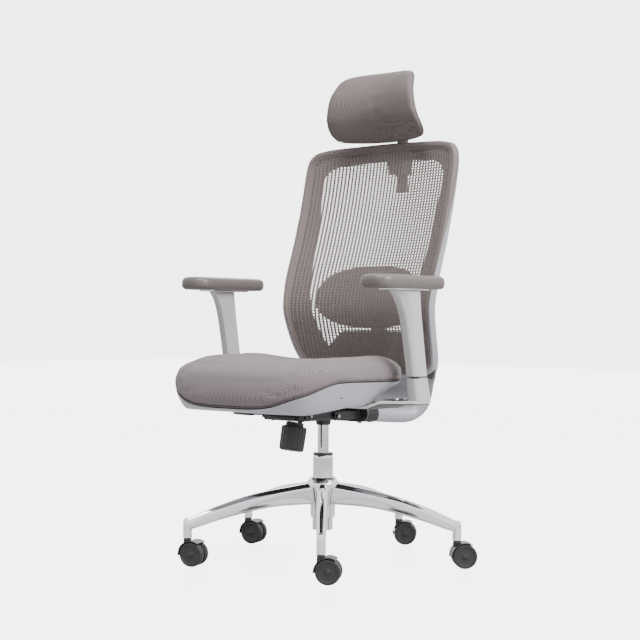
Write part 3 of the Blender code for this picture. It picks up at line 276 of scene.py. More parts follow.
seat_knit = knitted("seat_knit", (0.30, 0.250, 0.256), (0.085, 0.066, 0.072), 0.0034, 0.00045, 0.25)
head_knit = knitted("headrest_knit", (0.215, 0.176, 0.172), (0.070, 0.054, 0.054), 0.0034, 0.00030, 0.20,
                    0.28)
yarn = knitted("net_yarn", (0.250, 0.210, 0.200), (0.110, 0.088, 0.084), 0.0016, 0.00015, 0.15)
piping_knit = knitted("piping_knit", (0.22, 0.18, 0.184), (0.08, 0.062, 0.066), 0.0020, 0.00020, 0.2)
print("fabrics ready")

# %% Floor, world and lamps
SEEN_WHITE, AMBIENT, MIRRORED = 4.6, 0.34, 1.30
floor_mesh = bpy.data.meshes.new("floor")
reach = 14.0
floor_mesh.from_pydata([(-reach, -reach, 0), (reach, -reach, 0), (reach, reach, 0), (-reach, reach, 0)], [],
                       [(0, 1, 2, 3)])
floor = bpy.data.objects.new("floor", floor_mesh)
floor.location.z = -0.0006
bpy.context.scene.collection.objects.link(floor)
floor_white, floor_tree, floor_shader = start_finish("floor_white", (0.62, 0.62, 0.63), 0.22, 0.0, 0.02, 0.8)
floor_shader.inputs["Specular IOR Level"].default_value = 0.35
floor_shader.inputs["Emission Color"].default_value = (1.0, 1.0, 1.0, 1.0)
floor_ray = add_node(floor_tree, 'ShaderNodeLightPath')
glow = arithmetic(floor_tree, 'MULTIPLY', floor_ray.outputs["Is Camera Ray"], SEEN_WHITE)
wire_up(floor_tree, glow, floor_shader.inputs["Emission Strength"])
floor_mesh.materials.append(floor_white)

world = bpy.data.worlds.new("studio")
world.use_nodes = True
sky = world.node_tree.nodes["Background"]
sky.inputs["Color"].default_value = (1.0, 1.0, 1.0, 1.0)
ray = add_node(world.node_tree, 'ShaderNodeLightPath')
seen = arithmetic(world.node_tree, 'MULTIPLY_ADD', ray.outputs["Is Camera Ray"], SEEN_WHITE - AMBIENT)
seen.node.inputs[2].default_value = AMBIENT
mirrored = arithmetic(world.node_tree, 'MULTIPLY', ray.outputs["Is Glossy Ray"], MIRRORED)
wire_up(world.node_tree, arithmetic(world.node_tree, 'ADD', seen, mirrored), sky.inputs["Strength"])
bpy.context.scene.world = world


def softbox(name, azimuth, height, distance, width, power, aim=0.6):
    """Square area lamp on a circle round the column, pointing at it."""
    light = bpy.data.lights.new(name, 'AREA')
    light.energy = power
    light.size = width
    lamp = bpy.data.objects.new(name, light)
    a = radians(azimuth)
    lamp.location = COLUMN + Vector((distance * sin(a), -distance * cos(a), height))
    to_chair = COLUMN + Vector((0, 0, aim)) - lamp.location
    lamp.rotation_euler = to_chair.to_track_quat('-Z', 'Y').to_euler()
    bpy.context.scene.collection.objects.link(lamp)


softbox("key", 88.0, 2.1, 2.3, 1.2, 92.0)
softbox("top", 20.0, 3.3, 0.9, 1.2, 74.0)
softbox("rear", 215.0, 2.4, 2.6, 1.6, 34.0)
print("stage ready")


# %% [markdown]
# ## Ways to make a shape
# Most chair pieces are one of four things: a section carried along a line (a leg, the hoop, an arm), an
# outline turned about an axis (tube, wheel, knob), a block with rounded edges, or a bent wire. Each has
# one helper that returns plain mesh data, so that pieces can be joined, mirrored and repeated.

# %% Helpers that return bmesh data
def carry(rings, loop=False, tips=None):
    """Skin through rings of points; closed by flat caps, by tip points, or end to end."""
    bm = bmesh.new()
    rows = [[bm.verts.new(point) for point in ring] for ring in rings]
    spans = list(zip(rows, rows[1:]))
    if loop:
        spans.append((rows[-1], rows[0]))
    for a, b in spans:
        for i in range(len(a)):
            j = (i + 1) % len(a)
            bm.faces.new((a[i], a[j], b[j], b[i]))
    if tips:
        for row, tip in ((rows[0], tips[0]), (rows[-1], tips[1])):
            centre = bm.verts.new(tip)
            for i in range(len(row)):
                bm.faces.new((row[i], row[(i + 1) % len(row)], centre))
    elif not loop:
        bm.faces.new(rows[0])
        bm.faces.new(rows[-1])
    return bm


def spun(profile, sides=64, flutes=0, flute_depth=0.0):
    """Outline of (r, z) pairs turned about Z, from axis to axis. Flutes ripple it."""
    rings = []
    for r, z in profile[1:-1]:
        ring = []
        for k in range(sides):
            angle = 2 * pi * k / sides
            dip = flute_depth * (0.5 - 0.5 * cos(flutes * angle)) if flutes else 0.0
            ring.append(((r - dip) * cos(angle), (r - dip) * sin(angle), z))
        rings.append(ring)
    return carry(rings, tips=((0, 0, profile[0][1]), (0, 0, profile[-1][1])))


def sleeve_spun(profile, sides=64):
    """Closed outline of (r, z) pairs turned about Z, which leaves a bore."""
    rings = [[(r * cos(2 * pi * k / sides), r * sin(2 * pi * k / sides), z) for k in range(sides)]
             for r, z in profile]
    return carry(rings, loop=True)


def block(low, high, radius=0.0, segments=3):
    """Box between two corners with rounded edges."""
    bm = bmesh.new()
    middle = [(a + b) / 2 for a, b in zip(low, high)]
    size = [b - a for a, b in zip(low, high)]
    bmesh.ops.create_cube(bm, size=1.0, matrix=Matrix.Translation(middle) @ Matrix.Diagonal((*size, 1.0)))
    if radius:
        bmesh.ops.bevel(bm, geom=bm.edges[:], offset=radius, segments=segments, affect='EDGES', profile=0.5,
                        clamp_overlap=True)
    return bm


def bent_wire(points, radius, sides=16):
    """Round bar through points, with flat ends."""
    points = [Vector(p) for p in points]
    rings = []
    side = Vector((0, 0, 1))
    for i, point in enumerate(points):
        before = points[max(i - 1, 0)]
        after = points[min(i + 1, len(points) - 1)]
        along = (after - before).normalized()
        if abs(along.dot(side)) > 0.98:
            side = Vector((0, 1, 0))
        across = along.cross(side).normalized()
        side = across.cross(along).normalized()
        rings.append([point + radius * (across * cos(2 * pi * k / sides) + side * sin(2 * pi * k / sides))
                      for k in range(sides)])
    return carry(rings)


def moved(bm, matrix):
    bmesh.ops.transform(bm, matrix=matrix, verts=bm.verts)
    return bm


def gathered(*shapes):
    """Several bmeshes as one."""
    whole = bmesh.new()
    for shape in shapes:
        piece = bpy.data.meshes.new("passing")
        shape.to_mesh(piece)
        shape.free()
        whole.from_mesh(piece)
        bpy.data.meshes.remove(piece)
    return whole


def mirrored_x(bm):
    moved(bm, Matrix.Diagonal((-1, 1, 1, 1)))
    bmesh.ops.reverse_faces(bm, faces=bm.faces)
    return bm


# %% Turning data into a piece of the chair
def show(name, bm, finish, body, stands_for=(), sharp=35.0, rounding=0.0, level=0):
    """Make the object, round its edges, ride it on its body and hide the CAD nodes it stands for."""
    bmesh.ops.recalc_face_normals(bm, faces=bm.faces)
    mesh = bpy.data.meshes.new(name)
    bm.to_mesh(mesh)
    bm.free()
    piece = bpy.data.objects.new(name, mesh)
    bpy.context.scene.collection.objects.link(piece)
    piece.location = COLUMN
    mesh.materials.append(finish)
    mesh.shade_smooth()
    mesh.set_sharp_from_angle(angle=radians(sharp))
    if rounding:
        edges = piece.modifiers.new("edges", 'BEVEL')
        edges.width = rounding
        edges.segments = 2
        edges.limit_method = 'ANGLE'
        edges.angle_limit = radians(30)
    if level:
        finer = piece.modifiers.new("finer", 'SUBSURF')
        finer.levels = level
        finer.render_levels = level
    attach(piece, body)
    if stands_for:
        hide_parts(*stands_for)
    return piece


def through(knots, x):
    """Smooth curve through (x, value...) knots, read at x."""
    last = len(knots) - 2
    i = max(k for k in range(last + 1) if k == 0 or x >= knots[k][0])
    a, b = knots[i], knots[i + 1]
    span = b[0] - a[0]
    t = min(max((x - a[0]) / span, 0.0), 1.0)

    def slope(k, c):
        low, high = max(k - 1, 0), min(k + 1, len(knots) - 1)
        return (knots[high][c] - knots[low][c]) / (knots[high][0] - knots[low][0])

    values = []
    for c in range(1, len(a)):
        m0, m1 = slope(i, c) * span, slope(i + 1, c) * span
        h = (2 * t**3 - 3 * t**2 + 1, t**3 - 2 * t**2 + t, 3 * t**2 - 2 * t**3, t**3 - t**2)
        values.append(h[0] * a[c] + h[1] * m0 + h[2] * b[c] + h[3] * m1)
    return values[0] if len(values) == 1 else values


def rounded(half_a, half_b, radius, steps=4):
    """Rounded rectangle as a loop of (a, b) points."""
    points = []
    for quarter, (sa, sb) in enumerate(((1, 1), (-1, 1), (-1, -1), (1, -1))):
        for k in range(steps + 1):
            angle = (quarter + k / steps) * pi / 2
            points.append((sa * (half_a - radius) + radius * cos(angle),
                           sb * (half_b - radius) + radius * sin(angle)))
    return points


def softened(points, radius, steps=3):
    """Closed polygon with its corners turned into arcs of about one radius."""
    n = len(points)
    loop = []
    for i in range(n):
        corner = Vector(points[i])
        before, after = Vector(points[i - 1]) - corner, Vector(points[(i + 1) % n]) - corner
        cut = min(radius, before.length * 0.45, after.length * 0.45)
        start, end = corner + before.normalized() * cut, corner + after.normalized() * cut
        for k in range(steps + 1):
            t = k / steps
            loop.append((1 - t)**2 * start + 2 * t * (1 - t) * corner + t**2 * end)
    return loop


def flowing(points, per_span):
    """Closed smooth curve through a loop of 2D points (Catmull-Rom)."""
    n = len(points)
    curve = []
    for i in range(n):
        p = [Vector(points[(i + k) % n]) for k in (-1, 0, 1, 2)]
        for s in range(per_span):
            t = s / per_span
            curve.append(0.5 * ((2 * p[1]) + (p[2] - p[0]) * t
                                + (2 * p[0] - 5 * p[1] + 4 * p[2] - p[3]) * t**2
                                + (3 * p[1] - p[0] - 3 * p[2] + p[3]) * t**3))
    return curve


def inset(outline, distance):
    """Move every point of a loop inwards by one distance."""
    n = len(outline)
    area = sum(outline[i].x * outline[(i + 1) % n].y - outline[(i + 1) % n].x * outline[i].y
               for i in range(n))
    side = 1.0 if area > 0 else -1.0
    moved_points = []
    for i in range(n):
        along = (outline[(i + 1) % n] - outline[i - 1]).normalized()
        moved_points.append(outline[i] + side * distance * Vector((-along.y, along.x)))
    return moved_points


def both_sides(half):
    """Closed outline from its +x half, which starts and ends on x = 0."""
    return half + [(-x, z) for x, z in reversed(half[1:-1])]


# %% [markdown]
# ## The star base
# A die-cast star has five arched legs that fall from a thick hub to a short socket over each caster. A
# subdivided box would do, but its reflections swim. A leg is a section carried along a line here: the
# section narrows and drops at each station, and small arcs at its corners catch the light.

# %% Star base
BASE_RADIUS = 0.345
LEG_AZIMUTH = 39.3
LEG_TOP = ((0.020, 0.1945), (0.040, 0.193), (0.120, 0.181), (0.195, 0.166), (0.270, 0.1435),
           (0.320, 0.1240), (0.345, 0.1140))
LEG_UNDERSIDE = ((0.020, 0.141), (0.040, 0.141), (0.120, 0.138), (0.195, 0.126), (0.270, 0.108),
                 (0.320, 0.0930), (0.345, 0.0870))
LEG_WIDTH = ((0.020, 0.036), (0.080, 0.033), (0.195, 0.027), (0.300, 0.0235), (0.345, 0.0206))
SOCKET_BOTTOM = 0.0675


def leg_ring(r):
    top, under, half = through(LEG_TOP, r), through(LEG_UNDERSIDE, r), through(LEG_WIDTH, r) / 2
    outline = ((-half * 0.34, top), (half * 0.34, top), (half, top - 0.010), (half * 0.94, under + 0.004),
               (half * 0.70, under), (-half * 0.70, under), (-half * 0.94, under + 0.004),
               (-half, top - 0.010))
    return [(p.x, -r, p.y) for p in softened(outline, 0.0030)]


def star_leg():
    stations = [0.012 + (BASE_RADIUS + 0.002 - 0.012) * k / 30 for k in range(31)]
    body = carry([leg_ring(r) for r in stations])
    tip = through(LEG_TOP, BASE_RADIUS)
    socket = spun([(0, tip + 0.0022), (0.0045, tip + 0.0018), (0.0085, tip - 0.0008), (0.0106, tip - 0.006),
                   (0.0108, tip - 0.014), (0.0108, SOCKET_BOTTOM + 0.0008), (0.0100, SOCKET_BOTTOM),
                   (0, SOCKET_BOTTOM)], 32)
    return gathered(body, moved(socket, Matrix.Translation((0, -BASE_RADIUS, 0))))


legs = [moved(star_leg(), Matrix.Rotation(radians(LEG_AZIMUTH + 72 * k), 4, 'Z')) for k in range(5)]
star_hub = sleeve_spun([(0.0253, 0.2080), (0.0300, 0.2080), (0.0325, 0.2062), (0.0392, 0.1955),
                        (0.0402, 0.1920),
                        (0.0400, 0.1840), (0.0385, 0.1790), (0.0335, 0.1580), (0.0308, 0.1420),
                        (0.0305, 0.1100), (0.0290, 0.1080), (0.0253, 0.1080)], 96)
show("star_base", gathered(star_hub, *legs), star_metal, "base", ("base_star",), 32.0)
print("star base made")

# %% [markdown]
# ## Casters
# A twin-wheel caster is two dished wheels on one axle, a web between them that carries the swivel stem,
# and a mudguard that wraps the top. The wheel is turned from its outline: a soft tread, a step, and a
# shallow dish with a cap. One caster is made and set five times, each with its own heading.

# %% One wheel and one fork
WHEEL_RADIUS = 0.030
WHEEL_WIDTH = 0.0165
WEB = 0.009
TRAIL = 0.018
HEADINGS = (31.8, 44.8, 34.8, 14.8, 17.8)


def wheel():
    """Outer face up, middle at the origin, axle along Z."""
    r, h = WHEEL_RADIUS, WHEEL_WIDTH / 2
    return spun([(0, h + 0.0004), (0.0045, h + 0.0002), (0.0062, h - 0.0006), (0.0072, h - 0.0022),
                 (0.0165, h - 0.0030),
                 (0.0228, h - 0.0016), (0.0238, h - 0.0002), (0.0262, h), (0.0283, h - 0.0004),
                 (0.0295, h - 0.0018), (r, h - 0.0042), (r, -h + 0.0035), (0.0292, -h + 0.0012),
                 (0.0275, -h), (0.010, -h), (0, -h)], 72)


def fork():
    inner, outer = WHEEL_RADIUS + 0.0012, WHEEL_RADIUS + 0.0038
    half = WEB / 2 + WHEEL_WIDTH + 0.0010

    def arc(radius, degrees):
        return (TRAIL + radius * cos(radians(degrees)), WHEEL_RADIUS + radius * sin(radians(degrees)))

    sweep = [56 + k * 6.2 for k in range(22)]
    outline = softened([arc(outer, a) for a in sweep] + [arc(inner, a) for a in reversed(sweep)], 0.0006, 1)
    guard = carry([[(p.x, y, p.y) for p in outline] for y in (-half, half)])
    web = moved(spun([(0, WEB / 2), (0.0255, WEB / 2), (0.0265, WEB / 2 - 0.001), (0.0265, -WEB / 2 + 0.001),
                      (0.0255, -WEB / 2), (0, -WEB / 2)], 48),
                Matrix.Translation((TRAIL, 0, WHEEL_RADIUS)) @ Matrix.Rotation(pi / 2, 4, 'X'))
    rib = block((-0.0095, -WEB / 2 + 0.0003, 0.017), (TRAIL, WEB / 2 - 0.0003, WHEEL_RADIUS + inner), 0.0008,
                2)
    boss = spun([(0, SOCKET_BOTTOM - GAP), (0.0092, SOCKET_BOTTOM - GAP), (0.0097, SOCKET_BOTTOM - 0.0010),
                 (0.0097, 0.0600), (0.0085, 0.0570), (0, 0.0570)], 32)
    return gathered(guard, web, rib, boss)


def stem_pin():
    return spun([(0, 0.100), (0.0045, 0.100), (0.0054, 0.098), (0.0054, 0.0665), (0, 0.0665)], 24)


for k in range(5):
    turn = radians(LEG_AZIMUTH + 72 * k)
    foot = Matrix.Translation((BASE_RADIUS * sin(turn), -BASE_RADIUS * cos(turn), 0))
    heading = Matrix.Rotation(radians(HEADINGS[k]), 4, 'Z')
    label = "caster_%d" % (k + 1)
    show(label + "_fork", moved(fork(), foot @ heading), caster_black, label + "_fork",
         (label + "_body",), 40.0)
    show(label + "_stem", moved(stem_pin(), foot @ heading), bare_steel, label + "_fork")
    for side, tag in ((-1, "a"), (1, "b")):
        offset = side * (WEB / 2 + GAP + WHEEL_WIDTH / 2)
        seat = Matrix.Translation((TRAIL, offset, WHEEL_RADIUS)) @ Matrix.Rotation(-side * pi / 2, 4, 'X')
        show(label + "_tread_" + tag, moved(wheel(), foot @ heading @ seat), tread_black,
             label + "_wheel_" + tag, (label + "_wheel_" + tag,), 28.0)
for k in range(5):
    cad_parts["caster_%d_axle" % (k + 1)].data.materials[0] = bare_steel
print("five casters made")

# %% [markdown]
# ## Gas lift
# Two stages of chromed tube show between the star and the mechanism, with a black guide bush where the
# thin one leaves the thick one. They are turned shapes; a plain cylinder lacks the rolled edges that
# give chrome its bright rings.

# %% Gas lift
outer_stage = sleeve_spun([(0.0232, 0.0770), (0.0248, 0.0770), (0.0250, 0.0785), (0.0250, 0.2560),
                           (0.0247, 0.2618),
                           (0.0240, 0.2630), (0.0232, 0.2630)], 80)
show("outer_stage", outer_stage, chrome, "base", ("column_tube",))
bush = sleeve_spun([(0.0145, 0.2360), (0.0229, 0.2360), (0.0229, 0.2632), (0.0249, 0.2633), (0.0252, 0.2645),
                    (0.0252, 0.2672), (0.0244, 0.2690), (0.0180, 0.2693), (0.0145, 0.2685)], 80)
show("guide_ring", bush, caster_black, "base", ("guide_bush",))
inner_stage = spun([(0, 0.3715), (0.0125, 0.3715), (0.0140, 0.3420), (0.0140, 0.1655), (0.0120, 0.1650),
                    (0, 0.1650)], 64)
show("inner_stage", inner_stage, chrome, "lift", ("pressure_tube",))
for node, finish in (("thrust_bearing", bare_steel), ("piston_rod", bare_steel), ("release_pin", bare_steel),
                     ("recline_shaft", bare_steel), ("seat_pivot_pin", bare_steel),
                     ("tension_spring", bare_steel), ("back_bracket", sheet_black),
                     ("seat_carrier", sheet_black), ("seat_board", plywood),
                     ("arm_post_left", bare_steel), ("arm_post_right", bare_steel)):
    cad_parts[node].data.materials[0] = finish
print("gas lift made")

# %% [markdown]
# ## Tilt mechanism
# Under the seat sits a pressed-steel box with the recline spring, its tension knob, the yoke of the back
# and two levers on the sitter's right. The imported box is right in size, so it keeps its shape and gains
# what a press shop leaves on it: flanges, ribs and screw heads. The knob is turned with shallow flutes.

# %% Mechanism box and its fittings
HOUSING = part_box("mechanism_housing")
COLLAR_DROP = 0.0165
box_low, box_high = HOUSING[0] - COLUMN, HOUSING[1] - COLUMN
box_low.z += COLLAR_DROP
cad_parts["mechanism_housing"].data.materials[0] = sheet_black


def screw_head(radius=0.0042, height=0.0024):
    """Socket screw: head up along Z, with a recess."""
    return spun([(0, height - 0.0012), (radius * 0.45, height - 0.0012), (radius * 0.5, height),
                 (radius * 0.92, height), (radius, height - 0.0006), (radius, 0), (0, 0)], 24)


fittings = [block((box_low.x - 0.0015, box_low.y + 0.012, box_high.z - 0.0165),
                  (box_low.x - 0.0002, box_high.y - 0.012, box_high.z - 0.0135), 0.0004, 1),
            block((box_high.x + 0.0002, box_low.y + 0.012, box_high.z - 0.0165),
                  (box_high.x + 0.0015, box_high.y - 0.012, box_high.z - 0.0135), 0.0004, 1),
            block((-0.044, box_low.y - 0.0075, box_low.z + 0.0020),
                  (0.044, box_low.y - 0.0003, box_low.z + 0.0120),
                  0.0016, 2),
            block((-0.030, box_low.y - 0.0028, box_low.z + 0.0135),
                  (0.030, box_low.y - 0.0003, box_high.z - 0.003),
                  0.0010, 2)]
for x in (-0.047, 0.047):
    for y in (box_low.y + 0.018, box_high.y - 0.016):
        head = moved(screw_head(), Matrix.Translation((x, y, box_low.z)) @ Matrix.Rotation(pi, 4, 'X'))
        fittings.append(head)
show("mechanism_fittings", gathered(*fittings), sheet_black, "lift")
collar = sleeve_spun([(0.0168, box_low.z - COLLAR_DROP), (0.0174, box_low.z - COLLAR_DROP),
                      (0.0180, box_low.z - COLLAR_DROP + 0.0025),
                      (0.0205, box_low.z - 0.0010), (0.0205, box_low.z - 0.0001),
                      (0.0168, box_low.z - 0.0001)], 64)
show("column_collar", collar, sheet_black, "lift")
print("mechanism box", [round(v, 3) for v in (*box_low, *box_high)])

# %% Tension knob and levers
KNOB_Y, KNOB_LEAN, KNOB_RADIUS = -0.107, 11.6, 0.0312
knob_seat = Matrix.Translation((0, KNOB_Y, box_low.z)) @ Matrix.Rotation(radians(-KNOB_LEAN), 4, 'X')
grip = spun([(0, -0.0160), (0.0200, -0.0160), (0.0292, -0.0165), (0.0306, -0.0178), (KNOB_RADIUS, -0.0200),
             (KNOB_RADIUS, -0.0240), (KNOB_RADIUS - 0.0004, -0.0600), (KNOB_RADIUS - 0.0010, -0.0715),
             (KNOB_RADIUS - 0.0022, -0.0745), (KNOB_RADIUS - 0.0050, -0.0760), (0.0150, -0.0752),
             (0, -0.0750)],
            180, 18, 0.0016)
neck = spun([(0, -0.0065), (0.0212, -0.0065), (0.0222, -0.0075), (0.0222, -0.0165), (0, -0.0165)], 64)
show("knob_grip", moved(gathered(grip, neck), knob_seat), knob_black, "tension_knob",
     ("tension_knob",), 30.0)

height_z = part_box("release_pin")[1].z + GAP + 0.0032
drop = 0.018
height_rod = bent_wire([(0.004, 0, height_z), (-0.076, 0, height_z), (-0.086, 0, height_z - 0.0012),
                        (-0.094, 0, height_z - 0.005), (-0.102, 0, height_z - 0.012),
                        (-0.110, 0, height_z - drop), (-0.150, 0, height_z - drop - 0.002)], 0.0032)
height_paddle = carry([[(x, a * w, height_z - drop - 0.002 + b * t) for a, b in rounded(1.0, 1.0, 0.55)]
                       for x, w, t in ((-0.138, 0.0060, 0.0038), (-0.145, 0.0080, 0.0040),
                                       (-0.165, 0.0115, 0.0038),
                                       (-0.200, 0.0140, 0.0032), (-0.228, 0.0130, 0.0028),
                                       (-0.235, 0.0095, 0.0020))])
show("height_lever_grip", gathered(height_rod, height_paddle), knob_black, "height_lever",
     ("height_lever",), level=1)
lock_y, lock_z = -0.085, 0.368
lock_rod = bent_wire([(-0.057, lock_y, lock_z), (-0.088, lock_y, lock_z),
                      (-0.098, lock_y - 0.0015, lock_z - 0.0018),
                      (-0.106, lock_y - 0.004, lock_z - 0.004), (-0.160, lock_y - 0.010, lock_z - 0.006)],
                     0.0032)
lock_paddle = carry([[(x, lock_y - 0.010 + a * w, lock_z - 0.006 + b * t) for a, b in rounded(1.0, 1.0, 0.55)]
                     for x, w, t in ((-0.149, 0.0060, 0.0036), (-0.156, 0.0085, 0.0038),
                                     (-0.180, 0.0115, 0.0036),
                                     (-0.206, 0.0120, 0.0030), (-0.219, 0.0085, 0.0022))])
show("tilt_lever_grip", gathered(lock_rod, lock_paddle), knob_black, "tilt_lever",
     ("tilt_lever",), level=1)
print("knob and levers made")

# %% [markdown]
# ## Seat pan
# The pan is one light plastic moulding seen from below: a floor, a skirt that dips in front and sweeps up
# behind, and a rim. It is carried round the seat outline as a stack of rings, each at its own distance
# inside the outline and its own height. A superellipse gives the outline its square shoulders.

# %% Seat outline and height lines
SEAT_HALF, SEAT_MIDDLE, SEAT_FRONT, SEAT_REAR = 0.250, -0.120, 0.240, 0.205
PAN_FLOOR, PAN_WALL = 0.4072, 0.0035
RIM_LINE = ((-0.362, 0.389), (-0.358, 0.3965), (-0.343, 0.4150), (-0.310, 0.4310), (-0.270, 0.4460),
            (-0.225, 0.4550), (-0.100, 0.4550), (0.090, 0.4540))
SKIRT_LINE = ((-0.362, 0.3835), (-0.340, 0.3828), (-0.310, 0.3830), (-0.250, 0.3890), (-0.150, 0.3985),
              (-0.105, 0.4000),
              (-0.045, 0.4230), (-0.005, 0.4370), (0.090, 0.4400))
TOP_LINE = ((-0.362, 0.470), (-0.330, 0.487), (-0.290, 0.499), (-0.230, 0.509), (-0.160, 0.5135),
            (-0.060, 0.5130), (0.030, 0.5045), (0.090, 0.492))


def seat_outline(count, exponent=4.0):
    loop = []
    for k in range(count):
        angle = 2 * pi * k / count
        c, s = cos(angle), sin(angle)
        reach = SEAT_REAR if s > 0 else SEAT_FRONT
        loop.append(Vector((SEAT_HALF * copysign(abs(c) ** (2 / exponent), c),
                            SEAT_MIDDLE + reach * copysign(abs(s) ** (2 / exponent), s))))
    return loop


def evenly(loop, count):
    """Same closed outline with points at equal steps."""
    n = len(loop)
    lengths = [0.0]
    for i in range(n):
        lengths.append(lengths[-1] + (loop[(i + 1) % n] - loop[i]).length)
    points, i = [], 0
    for k in range(count):
        at = lengths[-1] * k / count
        while lengths[i + 1] < at:
            i += 1
        share = (at - lengths[i]) / (lengths[i + 1] - lengths[i])
        points.append(loop[i].lerp(loop[(i + 1) % n], share))
    return points


def rim_z(y):
    return through(RIM_LINE, y)


def skirt_z(y):
    return through(SKIRT_LINE, y)


def seat_ring(outline, margin, height):
    return [(q.x, q.y, height(p.y)) for p, q in zip(outline, inset(outline, margin))]


plan = evenly(seat_outline(720), 160)
print("seat outline", round(2 * SEAT_HALF, 3), "x", round(SEAT_FRONT + SEAT_REAR, 3))

# %% Seat pan
pan_floor_in = PAN_FLOOR + PAN_WALL
pan_rings = [
    seat_ring(plan, 0.066, lambda y: PAN_FLOOR),
    seat_ring(plan, 0.050, lambda y: max(skirt_z(y) + 0.006, PAN_FLOOR - 0.003)),
    seat_ring(plan, 0.0455, lambda y: skirt_z(y) + 0.0035),
    seat_ring(plan, 0.041, lambda y: skirt_z(y) + 0.0008),
    seat_ring(plan, 0.037, skirt_z),
    seat_ring(plan, 0.0330, lambda y: skirt_z(y) + 0.0010),
    seat_ring(plan, 0.0285, lambda y: skirt_z(y) * 0.90 + rim_z(y) * 0.10 + 0.0008),
    seat_ring(plan, 0.0215, lambda y: skirt_z(y) * 0.66 + rim_z(y) * 0.34),
    seat_ring(plan, 0.0150, lambda y: skirt_z(y) * 0.36 + rim_z(y) * 0.64),
    seat_ring(plan, 0.0110, lambda y: skirt_z(y) * 0.10 + rim_z(y) * 0.90),
    seat_ring(plan, 0.0097, lambda y: rim_z(y) - 0.0008),
    seat_ring(plan, 0.0102, rim_z),
    seat_ring(plan, 0.0128, rim_z),
    seat_ring(plan, 0.0134, lambda y: rim_z(y) - 0.0010),
    seat_ring(plan, 0.0200, lambda y: skirt_z(y) * 0.50 + rim_z(y) * 0.50),
    seat_ring(plan, 0.0335, lambda y: skirt_z(y) + PAN_WALL + 0.003),
    seat_ring(plan, 0.039, lambda y: skirt_z(y) + PAN_WALL + 0.001),
    seat_ring(plan, 0.048, lambda y: max(skirt_z(y) + 0.008, PAN_FLOOR - 0.004) + PAN_WALL),
    seat_ring(plan, 0.066, lambda y: pan_floor_in)]
show("seat_pan_shell", carry(pan_rings), shell_grey, "seat", ("seat_pan",), 42.0)
plugs = []
for side in (-1, 1):
    plugs.append(block((side * 0.2395 - 0.0016, -0.226, 0.4210), (side * 0.2395 + 0.0016, -0.218, 0.4235),
                       0.0008, 1))
show("pan_slots", gathered(*plugs), sheet_black, "seat")
print("pan made with", len(pan_rings), "rings")


# %% [markdown]
# ## Cushions
# A moulded foam cushion swells between its edges and pulls in at its seam. It could be left as a
# subdivided shape, but foam under a tight cover has a fullness that is hard to draw. So a slightly small
# body is remeshed evenly and blown up as cloth for twenty frames, each point may travel only a few
# millimetres, and the result is kept as plain mesh. The welt is added afterwards.

# %% Filling a cover
def evaluated_mesh(piece):
    bpy.context.view_layer.update()
    ready = piece.evaluated_get(bpy.context.evaluated_depsgraph_get())
    return bpy.data.meshes.new_from_object(ready)


def fill_cover(name, bm, voxel, pressure, cap, held):
    """Cloth swells the body; a point where held is 1 stays, and no point moves further than the cap."""
    bmesh.ops.recalc_face_normals(bm, faces=bm.faces)
    rough_mesh = bpy.data.meshes.new(name)
    bm.to_mesh(rough_mesh)
    bm.free()
    body = bpy.data.objects.new(name, rough_mesh)
    bpy.context.scene.collection.objects.link(body)
    even = body.modifiers.new("even", 'REMESH')
    even.mode = 'VOXEL'
    even.voxel_size = voxel
    calm = body.modifiers.new("calm", 'SMOOTH')
    calm.iterations = 6
    smooth_start = evaluated_mesh(body)
    body.modifiers.clear()
    body.data = smooth_start
    start = [v.co.copy() for v in smooth_start.vertices]
    pins = body.vertex_groups.new(name="held")
    for v in smooth_start.vertices:
        weight = held(v.co)
        if weight > 0:
            pins.add([v.index], weight, 'REPLACE')
    cloth = body.modifiers.new("fill", 'CLOTH')
    cloth.settings.vertex_group_mass = "held"
    cloth.settings.use_pressure = True
    cloth.settings.uniform_pressure_force = pressure
    cloth.settings.effector_weights.gravity = 0.0
    cloth.settings.tension_stiffness = 15.0
    cloth.settings.bending_stiffness = 0.8
    cloth.collision_settings.use_collision = False
    scene = bpy.context.scene
    for step in range(1, 21):
        scene.frame_set(step)
    blown = evaluated_mesh(body)
    scene.frame_set(1)
    body.modifiers.clear()
    far = 0.0
    for v, w in zip(start, blown.vertices):
        travel = w.co - v
        if travel.length > cap:
            travel *= cap / travel.length
        far = max(far, travel.length)
        w.co = v + travel
    body.data = blown
    print(name, "swelled by up to", round(far * 1000, 1), "mm over", len(start), "points")
    result = bmesh.new()
    result.from_mesh(body.data)
    bpy.data.objects.remove(body)
    bmesh.ops.smooth_vert(result, verts=result.verts, factor=0.5, use_axis_x=True, use_axis_y=True,
                          use_axis_z=True)
    return result


# %% Seat cushion
def top_z(y):
    return through(TOP_LINE, y)


def between(share):
    return lambda y: rim_z(y) + 0.0030 + (top_z(y) - rim_z(y) - 0.0030) * share


board_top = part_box("seat_board")[1].z
def saddle(x, y):
    """Hips sit in a dish; the rear flanks stand a little higher."""
    dish = -0.0085 * (1.0 - min(abs(x) / 0.19, 1.0) ** 2) * max(0.0, 1.0 - ((y + 0.090) / 0.190) ** 2)
    flank = 0.0055 * min(abs(x) / 0.20, 1.0) ** 3 * max(0.0, 1.0 - ((y - 0.005) / 0.110) ** 2)
    return dish + flank


def crown_ring(margin, drop):
    return [(p.x, p.y, top_z(p.y) + saddle(p.x, p.y) - drop) for p in inset(plan, margin)]


